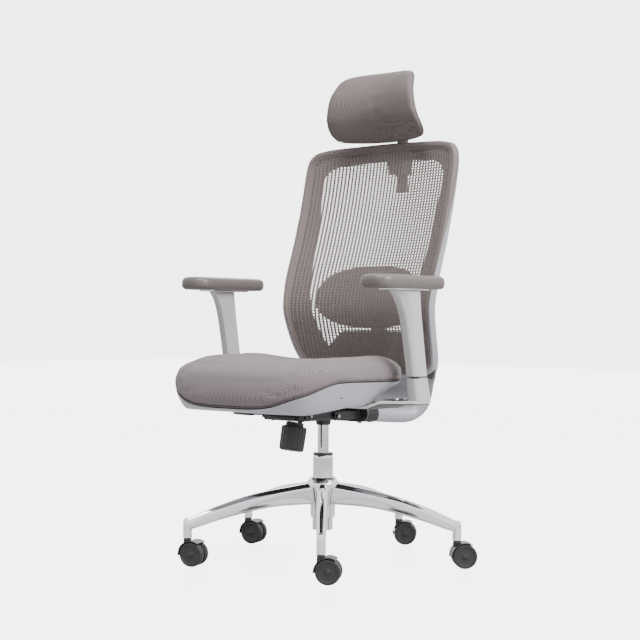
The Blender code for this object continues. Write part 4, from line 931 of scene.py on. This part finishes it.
seat_layers = [
    seat_ring(plan, 0.082, lambda y: board_top + 0.0012),
    seat_ring(plan, 0.042, lambda y: max(rim_z(y) + 0.0032, board_top + 0.0012)),
    seat_ring(plan, 0.018, lambda y: rim_z(y) + 0.0032),
    seat_ring(plan, 0.0095, lambda y: rim_z(y) + 0.0034),
    seat_ring(plan, 0.0050, between(0.14)),
    seat_ring(plan, 0.0030, between(0.30)),
    seat_ring(plan, 0.0030, between(0.46)),
    seat_ring(plan, 0.0060, between(0.62)),
    seat_ring(plan, 0.0120, between(0.77)),
    crown_ring(0.0210, 0.0115),
    crown_ring(0.0340, 0.0060),
    crown_ring(0.0520, 0.0040)]
seat_centre = Vector((0.0, SEAT_MIDDLE))
for share in (0.86, 0.70, 0.52, 0.34, 0.16):
    ring = [seat_centre + (Vector((x, y)) - seat_centre) * share for x, y, _ in seat_layers[11]]
    seat_layers.append([(p.x, p.y, top_z(p.y) + saddle(p.x, p.y) - 0.0040) for p in ring])
seat_peak = top_z(SEAT_MIDDLE) + saddle(0, SEAT_MIDDLE) - 0.0040
seat_body = carry(seat_layers, tips=((0, SEAT_MIDDLE, board_top + 0.0012), (0, SEAT_MIDDLE, seat_peak)))


def seat_held(point):
    return 1.0 if point.z < rim_z(point.y) + 0.0065 else 0.0


seat_cover = fill_cover("seat_filling", seat_body, 0.0055, 3.0, 0.0045, seat_held)
seat_piece = show("seat_cover", seat_cover, seat_knit, "seat", ("seat_cushion",), 60.0, level=1)
print("seat cover", len(seat_piece.data.polygons), "faces")

# %% Seat welt
welt_line = [Vector((x, y, rim_z(y0) + 0.0040)) for (x, y, _), (_, y0, _) in
             zip(seat_ring(plan, 0.0095, rim_z), seat_ring(plan, 0.0, rim_z))]


def cord_ring(line, radius, sides=10):
    """Closed round cord along a loop."""
    n = len(line)
    rings = []
    for i in range(n):
        along = (line[(i + 1) % n] - line[i - 1]).normalized()
        across = along.cross(Vector((0, 0, 1))).normalized()
        lift = across.cross(along).normalized()
        rings.append([line[i] + radius * (across * cos(2 * pi * k / sides) + lift * sin(2 * pi * k / sides))
                      for k in range(sides)])
    return carry(rings, loop=True)


welt = show("seat_welt", cord_ring(welt_line, 0.0013), piping_knit, "seat", sharp=60.0)
print("welt length", round(sum((welt_line[i] - welt_line[i - 1]).length for i in range(len(welt_line))), 3),
      "m")

# %% [markdown]
# ## Back frame
# One light moulding makes the hoop round the net and the broad arm that swings under the seat to the
# mechanism. The hoop's section is carried round its outline, on a surface that leans back at the top,
# comes forward at the waist and is hollow across. The arm is a slab carried along a J.

# %% The back's surface and outlines
BACK_HALF, BACK_HOLLOW = 0.2445, 0.046
RIM_WIDTH, RIM_DEPTH = 0.012, 0.026
SIDE_LINE = ((0.420, 0.190), (0.500, 0.160), (0.560, 0.139), (0.630, 0.124), (0.700, 0.137),
             (0.800, 0.171), (0.900, 0.200), (1.000, 0.221), (1.060, 0.228))
HOOP_HALF = [(0.0, 1.068), (0.108, 1.0650), (0.190, 1.0590), (0.2290, 1.0440), (BACK_HALF - 0.001, 1.004),
             (BACK_HALF, 0.900), (BACK_HALF, 0.760), (BACK_HALF - 0.001, 0.660), (0.2370, 0.575),
             (0.2240, 0.505), (0.199, 0.472), (0.120, 0.4545), (0.0, 0.4510)]
WINDOW_HALF = [(0.0, 1.0205), (0.098, 1.0180), (0.156, 1.0130), (0.186, 0.9985), (0.1990, 0.965),
               (0.1910, 0.870), (0.1850, 0.766), (0.1750, 0.672), (0.1610, 0.605), (0.145, 0.558),
               (0.125, 0.516), (0.085, 0.4950), (0.0, 0.4890)]


def back_y(x, z, behind=0.0):
    return through(SIDE_LINE, z) + BACK_HOLLOW * (1.0 - (x / BACK_HALF) ** 2) + behind


def rail(outline, width, depth, behind, corner):
    section = rounded(width / 2, depth / 2, corner, 3)
    n = len(outline)
    rings = []
    for i in range(n):
        along = (outline[(i + 1) % n] - outline[i - 1]).normalized()
        across = Vector((along.y, -along.x))
        ring = []
        for a, b in section:
            x, z = outline[i] + across * a
            ring.append((x, back_y(x, z, behind + b), z))
        rings.append(ring)
    return carry(rings, loop=True)


hoop_line = evenly(flowing(both_sides(HOOP_HALF), 8), 180)
window_line = flowing(both_sides(WINDOW_HALF), 8)
print("hoop", round(2 * BACK_HALF, 3), "wide")

# %% Hoop, J arm and spine
BACK_ARM = ((0.060, 0.3675, 0, 0.095, 0.042, 0.0), (0.120, 0.3650, 0, 0.106, 0.042, 0.0),
            (0.175, 0.3605, 0, 0.122, 0.041, 0.0), (0.212, 0.3600, 14, 0.137, 0.040, 0.003),
            (0.2370, 0.377, 47, 0.157, 0.033, 0.012), (0.2450, 0.409, 74, 0.175, 0.023, 0.026),
            (0.2400, 0.444, 93, 0.190, 0.016, 0.033), (0.2285, 0.474, 103, 0.203, 0.012, 0.0315),
            (0.2165, 0.502, 104, 0.211, 0.011, 0.031), (0.2095, 0.530, 101, 0.152, 0.010, 0.016),
            (0.2045, 0.573, 96, 0.101, 0.009, 0.0065))


def arm_slab(y, z, slant, half, thickness, bow, count=24):
    normal = Vector((-sin(radians(slant)), cos(radians(slant))))
    top, under = [], []
    for k in range(count):
        share = 2 * k / (count - 1) - 1
        share = copysign(1 - (1 - abs(share)) ** 1.35, share)
        edge = (1.0 - abs(share) ** 10) ** 0.5 * 0.8 + 0.2
        for row, side in ((top, 0.5), (under, -0.5)):
            p = Vector((y, z)) + normal * (bow * share ** 2 + side * thickness * edge)
            row.append((half * share, p.x, p.y))
    return top + under[::-1]


lengths = [0.0]
for a, b in zip(BACK_ARM, BACK_ARM[1:]):
    lengths.append(lengths[-1] + Vector((b[0] - a[0], b[1] - a[1])).length)
arm_knots = [(s, *section) for s, section in zip(lengths, BACK_ARM)]
arm_slabs = [arm_slab(*through(arm_knots, lengths[-1] * k / 60)) for k in range(61)]
SPINE_FOOT, SPINE_HEAD = Vector((0.0, 0.2365, 0.480)), Vector((0.0, 0.2130, 0.670))
rise = SPINE_HEAD - SPINE_FOOT
spine_seat = Matrix.Translation(SPINE_FOOT) @ Matrix.Rotation(-atan2(rise.y, rise.z), 4, 'X')
spine = moved(block((-0.024, -0.005, 0.0), (0.024, 0.005, rise.length), 0.0018), spine_seat)
hoop = rail(inset(hoop_line, RIM_WIDTH / 2), RIM_WIDTH, RIM_DEPTH, 0.003, 0.0042)
show("back_shell", gathered(hoop, carry(arm_slabs), spine), shell_grey, "back",
     ("back_frame",), 40.0)
bolts = []
for x in (-0.052, 0.052):
    for y in (0.080, 0.122):
        head = moved(screw_head(0.0058, 0.0036), Matrix.Translation((x, y, 0.3452)) @ Matrix.Rotation(pi, 4,
                                                                                                      'X'))
        bolts.append(head)
yoke_rings = []
for k in range(9):
    y = 0.0590 + 0.0400 * k / 8
    _, z, slant, half, thickness, bow = through([(row[0], *row) for row in BACK_ARM], max(y, 0.060))
    grow = 0.0007 - (0.0012 if k in (0, 8) else 0.0)
    yoke_rings.append(arm_slab(y, z, slant, half + grow, thickness + 2 * grow, bow))
show("yoke_cover", carry(yoke_rings), sheet_black, "back")
show("back_bolts", gathered(*bolts), sheet_black, "back")
print("J arm is", round(lengths[-1], 3), "m long")

# %% Dark cover on the upper end of the arm
cover_rings = []
for y, z, slant, half, thickness, bow in (through(arm_knots,
                                                  lengths[-1] * (0.70 + 0.0295 * k)) for k in range(11)):
    normal = Vector((-sin(radians(slant)), cos(radians(slant))))
    front_row, rear_row = [], []
    for n in range(25):
        share = (2 * n / 24 - 1) * 0.985
        for row, depth in ((front_row, thickness / 2 + 0.0022), (rear_row, thickness / 2 + 0.0006)):
            p = Vector((y, z)) + normal * (bow * share ** 2 + depth)
            row.append((half * share, p.x, p.y))
    cover_rings.append(front_row + rear_row[::-1])
show("back_cover", carry(cover_rings), frame_taupe, "back", sharp=45.0)
print("cover made")

# %% Inner frame that carries the net
BAND_MIDDLE, BAND_DEPTH = -0.002, 0.008
edge_line = inset(flowing(both_sides(HOOP_HALF), 8), RIM_WIDTH + 0.0006)
band_rings = []
for p, q in zip(edge_line, window_line):
    ring = []
    for share, depth in ((0.0, -0.0035), (0.02, -0.004), (0.5, -0.004), (0.94, -0.0036), (1.0, -0.0015),
                         (1.0, 0.0025), (0.94, 0.004), (0.02, 0.004), (0.0, 0.0035)):
        v = p.lerp(q, share)
        ring.append((v.x, back_y(v.x, v.y, BAND_MIDDLE + depth), v.y))
    band_rings.append(ring)
show("net_carrier", carry(band_rings, loop=True), frame_taupe, "back", ("mesh_frame",), 45.0)
print("net carrier made")

# %% [markdown]
# ## The net
# The net is knitted with slanted holes, and its look is the light that comes through them. A transparent
# picture would do from afar, but close up, and in any other program, real holes are better. Upright
# threads stand between the columns of holes and slanted ones close each hole above and below, and the
# whole net lies on the back's own surface.

# %% Net with slanted holes
NET_X, NET_Z = 0.0105, 0.0072
OPEN_UPRIGHT, OPEN_SLANT, OPEN_CORNER = 0.52, 0.42, 0.40
NET_FRONT = BAND_MIDDLE - BAND_DEPTH / 2 - 0.0013


def half_width(line, z):
    """Half width of an outline at a height, nothing above or below it."""
    best = 0.0
    for i, a in enumerate(line):
        b = line[(i + 1) % len(line)]
        if (a.y - z) * (b.y - z) <= 0 and a.y != b.y:
            best = max(best, a.x + (b.x - a.x) * (z - a.y) / (b.y - a.y))
    return best


net_low = min(p.y for p in edge_line)
net_high = max(p.y for p in edge_line)
net = bmesh.new()
known = {}


def net_point(x, z):
    key = (round(x, 5), round(z, 5))
    if key not in known:
        known[key] = net.verts.new((x, back_y(x, z, NET_FRONT), z))
    return known[key]


def cell_corners(x, z):
    """Two upright threads joined by two threads that fall to the right."""
    return [(x - NET_X / 2, z + NET_Z), (x - NET_X / 2, z), (x + NET_X / 2, z - NET_Z), (x + NET_X / 2, z)]


holes = 0
columns = int(BACK_HALF / NET_X) + 1
for j in range(int((net_high - net_low) / NET_Z) + 1):
    z = net_low + j * NET_Z
    limit = min(half_width(edge_line, z - NET_Z), half_width(edge_line, z), half_width(edge_line, z + NET_Z))
    for i in range(-columns, columns + 1):
        x = i * NET_X
        if abs(x) + NET_X / 2 > limit - 0.0004:
            continue
        corners = cell_corners(x, z)
        outer, inner = [], []
        for k, (ax, az) in enumerate(corners):
            bx, bz = corners[(k + 1) % 4]
            outer += [(ax, az), ((ax + bx) / 2, (az + bz) / 2)]
        for k, (px, pz) in enumerate(outer):
            share = (OPEN_CORNER, OPEN_UPRIGHT, OPEN_CORNER, OPEN_SLANT)[k % 4]
            inner.append(net.verts.new((x + (px - x) * share,
                                        back_y(x + (px - x) * share, z + (pz - z) * share, NET_FRONT),
                                        z + (pz - z) * share)))
        rim = [net_point(*p) for p in outer]
        for k in range(8):
            n = (k + 1) % 8
            net.faces.new((rim[k], rim[n], inner[n], inner[k]))
        holes += 1
print("net has", holes, "holes")

# %% Where the net wraps the hoop
WRAP_PATH = ((0.0000, 0.0126, -0.0060), (0.0032, 0.0126, -0.0092), (0.0052, 0.0112, -0.0108),
             (0.0150, 0.0016, -0.0108), (0.0180, -0.0007, -0.0088), (0.0266, -0.0007, 0.0000),
             (0.0391, -0.0007, 0.0125))
WRAP_REACH = ((0.44, 0.0055), (0.56, 0.0070), (0.66, 0.0130), (0.80, 0.0205), (0.92, 0.0330), (1.07, 0.0385))
WRAP_THICK = 0.0008
hoop_fine = flowing(both_sides(HOOP_HALF), 8)


def straight(knots, x):
    """Broken line through (x, value...) knots."""
    for a, b in zip(knots, knots[1:]):
        if x <= b[0]:
            t = min(max((x - a[0]) / (b[0] - a[0]), 0.0), 1.0)
            return [u + (v - u) * t for u, v in zip(a[1:], b[1:])]
    return list(knots[-1][1:])


net_edge = []
for i, p in enumerate(hoop_fine):
    along = (hoop_fine[(i + 1) % len(hoop_fine)] - hoop_fine[i - 1]).normalized()
    inward = Vector((-along.y, along.x))
    if (p + inward * 0.01).length_squared and inward.dot(Vector((0.0, 0.76)) - p) < 0:
        inward = -inward
    reach = straight(WRAP_REACH, p.y)[0]
    top, under = [], []
    for k in range(10):
        margin, depth = straight(WRAP_PATH, reach * k / 9)
        to_core = Vector((0.006 - margin, 0.003 - depth)).normalized() * WRAP_THICK
        for row, m, d in ((top, margin, depth), (under, margin + to_core.x, depth + to_core.y)):
            q = p + inward * m
            row.append((q.x, back_y(q.x, q.y, d), q.y))
    net_edge.append(top + under[::-1])
hem = []
for p, q in zip(edge_line, inset(edge_line, 0.0075)):
    ring = []
    for v, depth in ((p, -0.0010), (p.lerp(q, 0.9), -0.0010), (q, 0.0), (p.lerp(q, 0.9), 0.0006),
                     (p, 0.0006)):
        ring.append((v.x, back_y(v.x, v.y, NET_FRONT + 0.0002 + depth), v.y))
    hem.append(ring)
net_mesh = gathered(net, carry(hem, loop=True), carry(net_edge, loop=True))
net_piece = show("back_net", net_mesh, yarn, "back", ("mesh_panel",), 60.0)
thread = net_piece.modifiers.new("thread", 'SOLIDIFY')
thread.thickness = 0.0007
thread.offset = 0.0
print("net wraps the hoop with", len(net_edge), "rings")

# %% [markdown]
# ## Lumbar support
# Behind the net a wide oval pad slides up and down the spine on a carrier. From the front it is only a
# darker shape through the holes, so its outline matters more than its surface.

# %% Lumbar pad and carrier
def pillow(outline, layers, to_point):
    """Rings scaled about the outline's middle, closed at both ends."""
    middle = sum(outline, Vector((0.0, 0.0))) / len(outline)
    rings = [[to_point(*(middle + (p - middle) * scale), depth) for p in outline] for scale, depth in layers]
    return carry(rings, tips=[to_point(*middle, layers[k][1]) for k in (0, -1)])


lumbar_half = [(0.0, 0.742), (0.080, 0.738), (0.140, 0.716), (0.168, 0.668), (0.150, 0.616), (0.090, 0.588),
               (0.0, 0.582)]
lumbar_line = flowing(both_sides(lumbar_half), 8)
LUMBAR_LAYERS = [(0.15, -0.0002), (0.40, 0.0), (0.70, 0.0), (0.88, 0.0010), (0.955, 0.0025), (0.99, 0.0048),
                 (1.0, 0.0065),
                 (0.992, 0.0085), (0.965, 0.0105), (0.90, 0.0128), (0.75, 0.0148), (0.45, 0.0158),
                 (0.15, 0.0160)]
lumbar = pillow(lumbar_line, LUMBAR_LAYERS, lambda x, z, d: (x, back_y(x, z, 0.006 + d), z))
show("lumbar_plate", lumbar, frame_taupe, "lumbar", ("lumbar_pad",), 50.0)
carrier = gathered(block((-0.0293, -0.0103, 0.118), (0.0293, -0.0055, 0.172), 0.0012),
                   block((-0.0293, 0.0055, 0.118), (0.0293, 0.0103, 0.172), 0.0016),
                   block((-0.0293, -0.0103, 0.118), (-0.0246, 0.0103, 0.172), 0.0012),
                   block((0.0246, -0.0103, 0.118), (0.0293, 0.0103, 0.172), 0.0012),
                   block((-0.085, -0.0145, 0.130), (0.085, -0.0085, 0.160), 0.0020),
                   block((-0.030, -0.0238, 0.132), (0.030, -0.0125, 0.158), 0.0020),
                   *[block((-0.020, 0.0100, 0.126 + 0.008 * k), (0.020, 0.0116, 0.129 + 0.008 * k), 0.0007, 2)
                     for k in range(5)])
show("lumbar_slider", moved(carrier, spine_seat), frame_taupe, "lumbar", ("lumbar_carrier",))
print("lumbar support made")

# %% [markdown]
# ## Headrest
# A curved shell on a post carries a foam pad that wraps round the neck: hollow across, and bowed forward
# at mid height. Pad and shell are both stacks of rings laid on that surface, and a welt closes the seam.

# %% Headrest surface
HEAD_HALF, HEAD_HOLLOW, HEAD_LOW = 0.161, 0.058, 1.071
HEAD_LINE = ((HEAD_LOW, 0.2640), (1.087, 0.2590), (1.110, 0.2420), (1.135, 0.2270), (1.187, 0.2210),
             (1.232, 0.2370), (1.254, 0.2470))
head_half = [(0.0, 1.2540), (0.072, 1.2515), (0.115, 1.2400), (0.132, 1.2050), (0.1445, 1.1500),
             (0.1520, 1.1080), (0.1470, 1.0850), (0.120, 1.0740), (0.0, HEAD_LOW)]
head_line = evenly(flowing(both_sides(head_half), 8), 120)


def head_point(x, z, depth):
    return (x, through(HEAD_LINE, z) - HEAD_HOLLOW * (x / HEAD_HALF) ** 2 + depth, z)


HEAD_PIVOT = Vector((0.0, 0.292, 1.155))
shell_layers = [(0.30, 0.0156), (0.70, 0.0146), (0.92, 0.0091), (0.965, 0.0056), (0.975, 0.0068),
                (0.974, 0.0076),
                (0.966, 0.0090), (0.90, 0.0140), (0.70, 0.0195), (0.30, 0.0212)]
head_shell = pillow(head_line, shell_layers, head_point)
ear_front = head_point(0.0, HEAD_PIVOT.z, 0.0175)[1]
ears = []
for side in (-1, 1):
    low_x, high_x = sorted((side * 0.0205, side * 0.0300))
    outline = softened([(ear_front, HEAD_PIVOT.z - 0.016), (HEAD_PIVOT.y + 0.006, HEAD_PIVOT.z - 0.012),
                        (HEAD_PIVOT.y + 0.0118, HEAD_PIVOT.z - 0.004),
                        (HEAD_PIVOT.y + 0.0118, HEAD_PIVOT.z + 0.004),
                        (HEAD_PIVOT.y + 0.006, HEAD_PIVOT.z + 0.012), (ear_front, HEAD_PIVOT.z + 0.016)],
                       0.006, 4)
    ears.append(carry([[(x, p.x, p.y) for p in outline] for x in (low_x, high_x)]))
show("headrest_back", gathered(head_shell, *ears), shell_grey, "headrest",
     ("headrest_shell",), 45.0)
print("headrest shell made")

# %% Headrest pad
pad_layers = [(0.30, 0.0148), (0.70, 0.0138), (0.92, 0.0083), (0.985, 0.0036), (0.992, 0.0010),
              (0.990, -0.0020),
              (0.980, -0.0060), (0.950, -0.0115), (0.890, -0.0165), (0.78, -0.0205), (0.60, -0.0232),
              (0.35, -0.0245)]
head_body = pillow(head_line, pad_layers, head_point)


def head_held(point):
    surface = head_point(point.x, point.z, 0.0)[1]
    return 1.0 if point.y > surface - 0.0005 else 0.0


head_cover = fill_cover("head_filling", head_body, 0.0045, 3.0, 0.0035, head_held)
head_piece = show("headrest_cover", head_cover, head_knit, "headrest", ("headrest_cushion",),
                  60.0,
                  level=1)
head_middle = sum(head_line, Vector((0.0, 0.0))) / len(head_line)
head_welt_line = [Vector(head_point(*(head_middle + (p - head_middle) * 0.986), 0.0012)) for p in head_line]


def flat_cord(line, radius, sides=10):
    """Cord along a loop whose own plane is upright."""
    n = len(line)
    rings = []
    for i in range(n):
        along = (line[(i + 1) % n] - line[i - 1]).normalized()
        across = along.cross(Vector((0, 1, 0))).normalized()
        lift = across.cross(along).normalized()
        rings.append([line[i] + radius * (across * cos(2 * pi * k / sides) + lift * sin(2 * pi * k / sides))
                      for k in range(sides)])
    return carry(rings, loop=True)


head_welt = show("headrest_welt", flat_cord(head_welt_line, 0.0011), piping_knit, "headrest",
                 sharp=60.0)
print("headrest pad", len(head_piece.data.polygons), "faces")

# %% Headrest post and holder
POST_Y, POST_THICK, POST_HALF = 0.322, 0.009, 0.0165
neck_line = ((0.945, POST_Y), (1.100, POST_Y), (1.120, POST_Y - 0.003), (1.138, POST_Y - 0.014),
             (HEAD_PIVOT.z, HEAD_PIVOT.y + 0.004))
neck_rings = []
for k in range(33):
    z = 0.945 + (HEAD_PIVOT.z - 0.945) * k / 32
    y = through(neck_line, z)
    slope_y = (through(neck_line, z + 0.001) - through(neck_line, z - 0.001)) / 0.002
    lean = -atan2(slope_y, 1.0)
    neck_rings.append([(a, y + b * cos(lean), z + b * sin(lean)) for a, b in
                       rounded(POST_HALF, POST_THICK / 2, 0.002, 2)])
barrel = moved(spun([(0, 0.034), (0.0072, 0.034), (0.0078, 0.0334), (0.0078, -0.0334), (0.0072, -0.034),
                     (0, -0.034)],
                    48), Matrix.Translation(HEAD_PIVOT) @ Matrix.Rotation(pi / 2, 4, 'Y'))
show("headrest_stalk", gathered(carry(neck_rings), barrel), frame_taupe, "headrest_post",
     ("headrest_post",), 40.0)
holder_low, holder_high = (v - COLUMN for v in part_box("headrest_holder"))
walls = ((holder_low.x, holder_low.y, -0.0171, holder_high.y),
         (0.0171, holder_low.y, holder_high.x, holder_high.y),
         (-0.0175, holder_low.y, 0.0175, POST_Y - POST_THICK / 2 - 0.0006),
         (-0.0175, POST_Y + POST_THICK / 2 + 0.0006, 0.0175, holder_high.y))
holder = gathered(*[block((x0, y0, holder_low.z), (x1, y1, holder_high.z), 0.0015, 2) for x0, y0, x1,
                    y1 in walls])
show("headrest_socket", holder, frame_taupe, "back", ("headrest_holder",))
print("headrest post made")

# %% [markdown]
# ## Arms
# Each arm is a socket on a plate under the seat, a sleeve that slides on a steel post, a button at the
# rear, a swivel plate and a soft pad. The sleeve leans back and flares towards the pad. It is modelled
# once on the sitter's left and mirrored.

# %% Arm sections
ARM_X, PAD_X, PAD_Y, PAD_LENGTH, PAD_WIDTH = 0.300, 0.292, -0.060, 0.260, 0.088
PAD_BOTTOM, PAD_HEIGHT, ARM_SPLIT, ARM_TOP = 0.6755, 0.0335, 0.4675, 0.6720
ARM_FOOT_Y, ARM_FOOT_Z, ARM_LEAN = -0.0035, 0.4072, -0.185


def arm_y(z):
    return ARM_FOOT_Y + ARM_LEAN * (z - ARM_FOOT_Z)


def arm_ring(z, half_x, front, rear, chamfer):
    """Section at one height; the outer front corner is cut to a facet."""
    y = arm_y(z)
    outline = [(half_x, -front + chamfer), (half_x, rear), (-half_x, rear), (-half_x, -front),
               (half_x - chamfer * 0.75, -front)]
    return [(ARM_X + p.x, y + p.y, z) for p in softened(outline, 0.0050, 3)]


def carried_arm(knots, steps, caps=0.0015):
    low, high = knots[0][0], knots[-1][0]
    rings = []
    first, last = through(knots, low), through(knots, high)
    rings.append(arm_ring(low, first[0] - caps, first[1] - caps, first[2] - caps, first[3]))
    for k in range(steps + 1):
        z = low + caps + (high - low - 2 * caps) * k / steps
        rings.append(arm_ring(z, *through(knots, z)))
    rings.append(arm_ring(high, last[0] - caps, last[1] - caps, last[2] - caps, last[3]))
    return carry(rings)


def sided(bm, side):
    return bm if side > 0 else mirrored_x(bm)


SLEEVE = ((ARM_SPLIT + 0.001, 0.0148, 0.0235, 0.0235, 0.010), (0.540, 0.0150, 0.0245, 0.0240, 0.011),
          (0.600, 0.0155, 0.0270, 0.0245, 0.013), (0.635, 0.0165, 0.0330, 0.0250, 0.017),
          (0.658, 0.0175, 0.0430, 0.0255, 0.022), (ARM_TOP, 0.0180, 0.0540, 0.0260, 0.024))
SOCKET = ((0.4043, 0.0165, 0.026, 0.026, 0.008), (0.425, 0.0162, 0.0255, 0.0255, 0.009),
          (ARM_SPLIT - 0.001, 0.0150, 0.0240, 0.0240, 0.010))
print("arm sections ready")


# %% Arm pieces
def bracket_plate():
    rings = []
    for x, front, rear, lift, thick in ((0.135, -0.118, -0.010, 0.0, 0.0065),
                                        (0.190, -0.114, 0.010, 0.0, 0.0065),
                                        (0.222, -0.111, 0.022, 0.0, 0.0065),
                                        (0.236, -0.105, 0.023, 0.5, 0.0068),
                                        (0.250, -0.096, 0.023, 1.0, 0.0070),
                                        (0.280, -0.069, 0.023, 1.0, 0.0070),
                                        (0.302, -0.049, 0.023, 1.0, 0.0070),
                                        (0.312, -0.040, 0.018, 1.0, 0.0068),
                                        (0.3175, -0.030, 0.006, 1.0, 0.0050)):
        z = 0.3923 + 0.012 * lift + thick / 2
        middle, half = (front + rear) / 2, (rear - front) / 2
        rings.append([(x, middle + a, z + b) for a, b in rounded(half, thick / 2, thick * 0.35, 3)])
    return carry(rings)


def arm_pad():
    sizes = ((0.0, -0.0095), (0.0016, -0.0062), (0.0050, -0.0022), (0.0090, -0.0006), (0.0135, 0.0),
             (0.0195, 0.0),
             (0.0240, -0.0009), (0.0278, -0.0030), (0.0305, -0.0062), (0.0322, -0.0105), (0.0333, -0.0165),
             (PAD_HEIGHT, -0.0260))
    rings = []
    for lift, grow in sizes:
        loop = rounded(PAD_WIDTH / 2 + grow, PAD_LENGTH / 2 + grow, 0.036 + grow * 0.9, 10)
        rings.append([(PAD_X + a, PAD_Y + b, PAD_BOTTOM + lift) for a, b in loop])
    top = PAD_BOTTOM + PAD_HEIGHT
    return carry(rings, tips=((PAD_X, PAD_Y, PAD_BOTTOM), (PAD_X, PAD_Y, top)))


for side, tag in ((1, "left"), (-1, "right")):
    socket = carried_arm(SOCKET, 10)
    foot = block((0.137, -0.110, 0.3943), (0.168, -0.015, 0.4069), 0.0010, 2)
    show("arm_socket_" + tag, sided(gathered(socket, bracket_plate(), foot), side), arm_grey, "seat",
         ("arm_bracket_" + tag,), 40.0)
    show("arm_riser_" + tag, sided(carried_arm(SLEEVE, 40), side), arm_grey, "arm_" + tag,
         ("arm_sleeve_" + tag,), 32.0)
    ring_z = ARM_SPLIT
    seam = carry([arm_ring(z, 0.0153, 0.0243, 0.0242, 0.010) for z in (ring_z - 0.0030, ring_z + 0.0006)])
    show("arm_seam_" + tag, sided(seam, side), sheet_black, "seat")
    dashes = [block((ARM_X + 0.0148, arm_y(ring_z) + y - 0.0018, ring_z - 0.0026),
                    (ARM_X + 0.0159, arm_y(ring_z) + y + 0.0018, ring_z + 0.0002), 0.0004, 1)
              for y in (-0.010, -0.003, 0.004, 0.011, 0.018)]
    dashes += [block((ARM_X + x - 0.0018, arm_y(ring_z) - 0.0249, ring_z - 0.0026),
                     (ARM_X + x + 0.0018, arm_y(ring_z) - 0.0238, ring_z + 0.0002), 0.0004, 1)
               for x in (-0.010, -0.003)]
    show("arm_guide_" + tag, sided(gathered(*dashes), side), chrome, "seat")
    # The thin black strip just below the bracket's flange is painted shadow: it stands for the shadow gap
    # under the flange, not for a part. The upper block is the real black plate that carries the bolts.
    under = []
    for x, front, rear in ((0.180, -0.112, 0.004), (0.222, -0.108, 0.019), (0.250, -0.093, 0.0205),
                           (0.280, -0.067, 0.0205), (0.302, -0.047, 0.0205), (0.3125, -0.036, 0.012)):
        z = 0.3923 + 0.012 * min(max((x - 0.222) / 0.028, 0.0), 1.0) - 0.0021
        under.append([(x, front, z), (x, rear, z), (x, rear, z + 0.0017), (x, front, z + 0.0017)])
    upper = block((0.236, -0.062, 0.4113), (0.281, 0.004, 0.4133), 0.0006, 2)
    show("arm_plate_and_shadow_strip_" + tag, sided(gathered(carry(under), upper), side), sheet_black, "seat")
    rear = arm_y(0.652) + 0.0252
    button = gathered(block((ARM_X - 0.0060, rear - 0.0045, 0.6415), (ARM_X + 0.0060, rear + 0.0035, 0.6625),
                            0.0014),
                      block((ARM_X - 0.0035, rear + 0.0030, 0.6500), (ARM_X + 0.0035, rear + 0.0042, 0.6515),
                            0.0004, 1))
    show("arm_catch_" + tag, sided(button, side), chrome, "arm_button_" + tag,
         ("arm_button_" + tag,))
    swivel_y = arm_y(ARM_TOP)
    plate = block((PAD_X - 0.026, swivel_y - 0.070, ARM_TOP + GAP),
                  (PAD_X + 0.026, swivel_y + 0.060, ARM_TOP + 0.0068),
                  0.0018)
    show("arm_swivel_" + tag, sided(plate, side), chrome, "arm_plate_" + tag,
         ("arm_plate_" + tag,))
    pad = show("arm_rest_" + tag, sided(arm_pad(), side), pad_taupe, "arm_pad_" + tag,
               ("arm_pad_" + tag,), 60.0, level=1)
    bolt_seats = [Matrix.Translation((x, y, 0.4133)) for x, y in ((0.266, -0.048), (0.266, -0.016))]
    heads = [moved(screw_head(0.0052, 0.0030), seat) for seat in bolt_seats]
    show("arm_bolts_" + tag, sided(gathered(*heads), side), chrome, "seat")
print("two arms made")
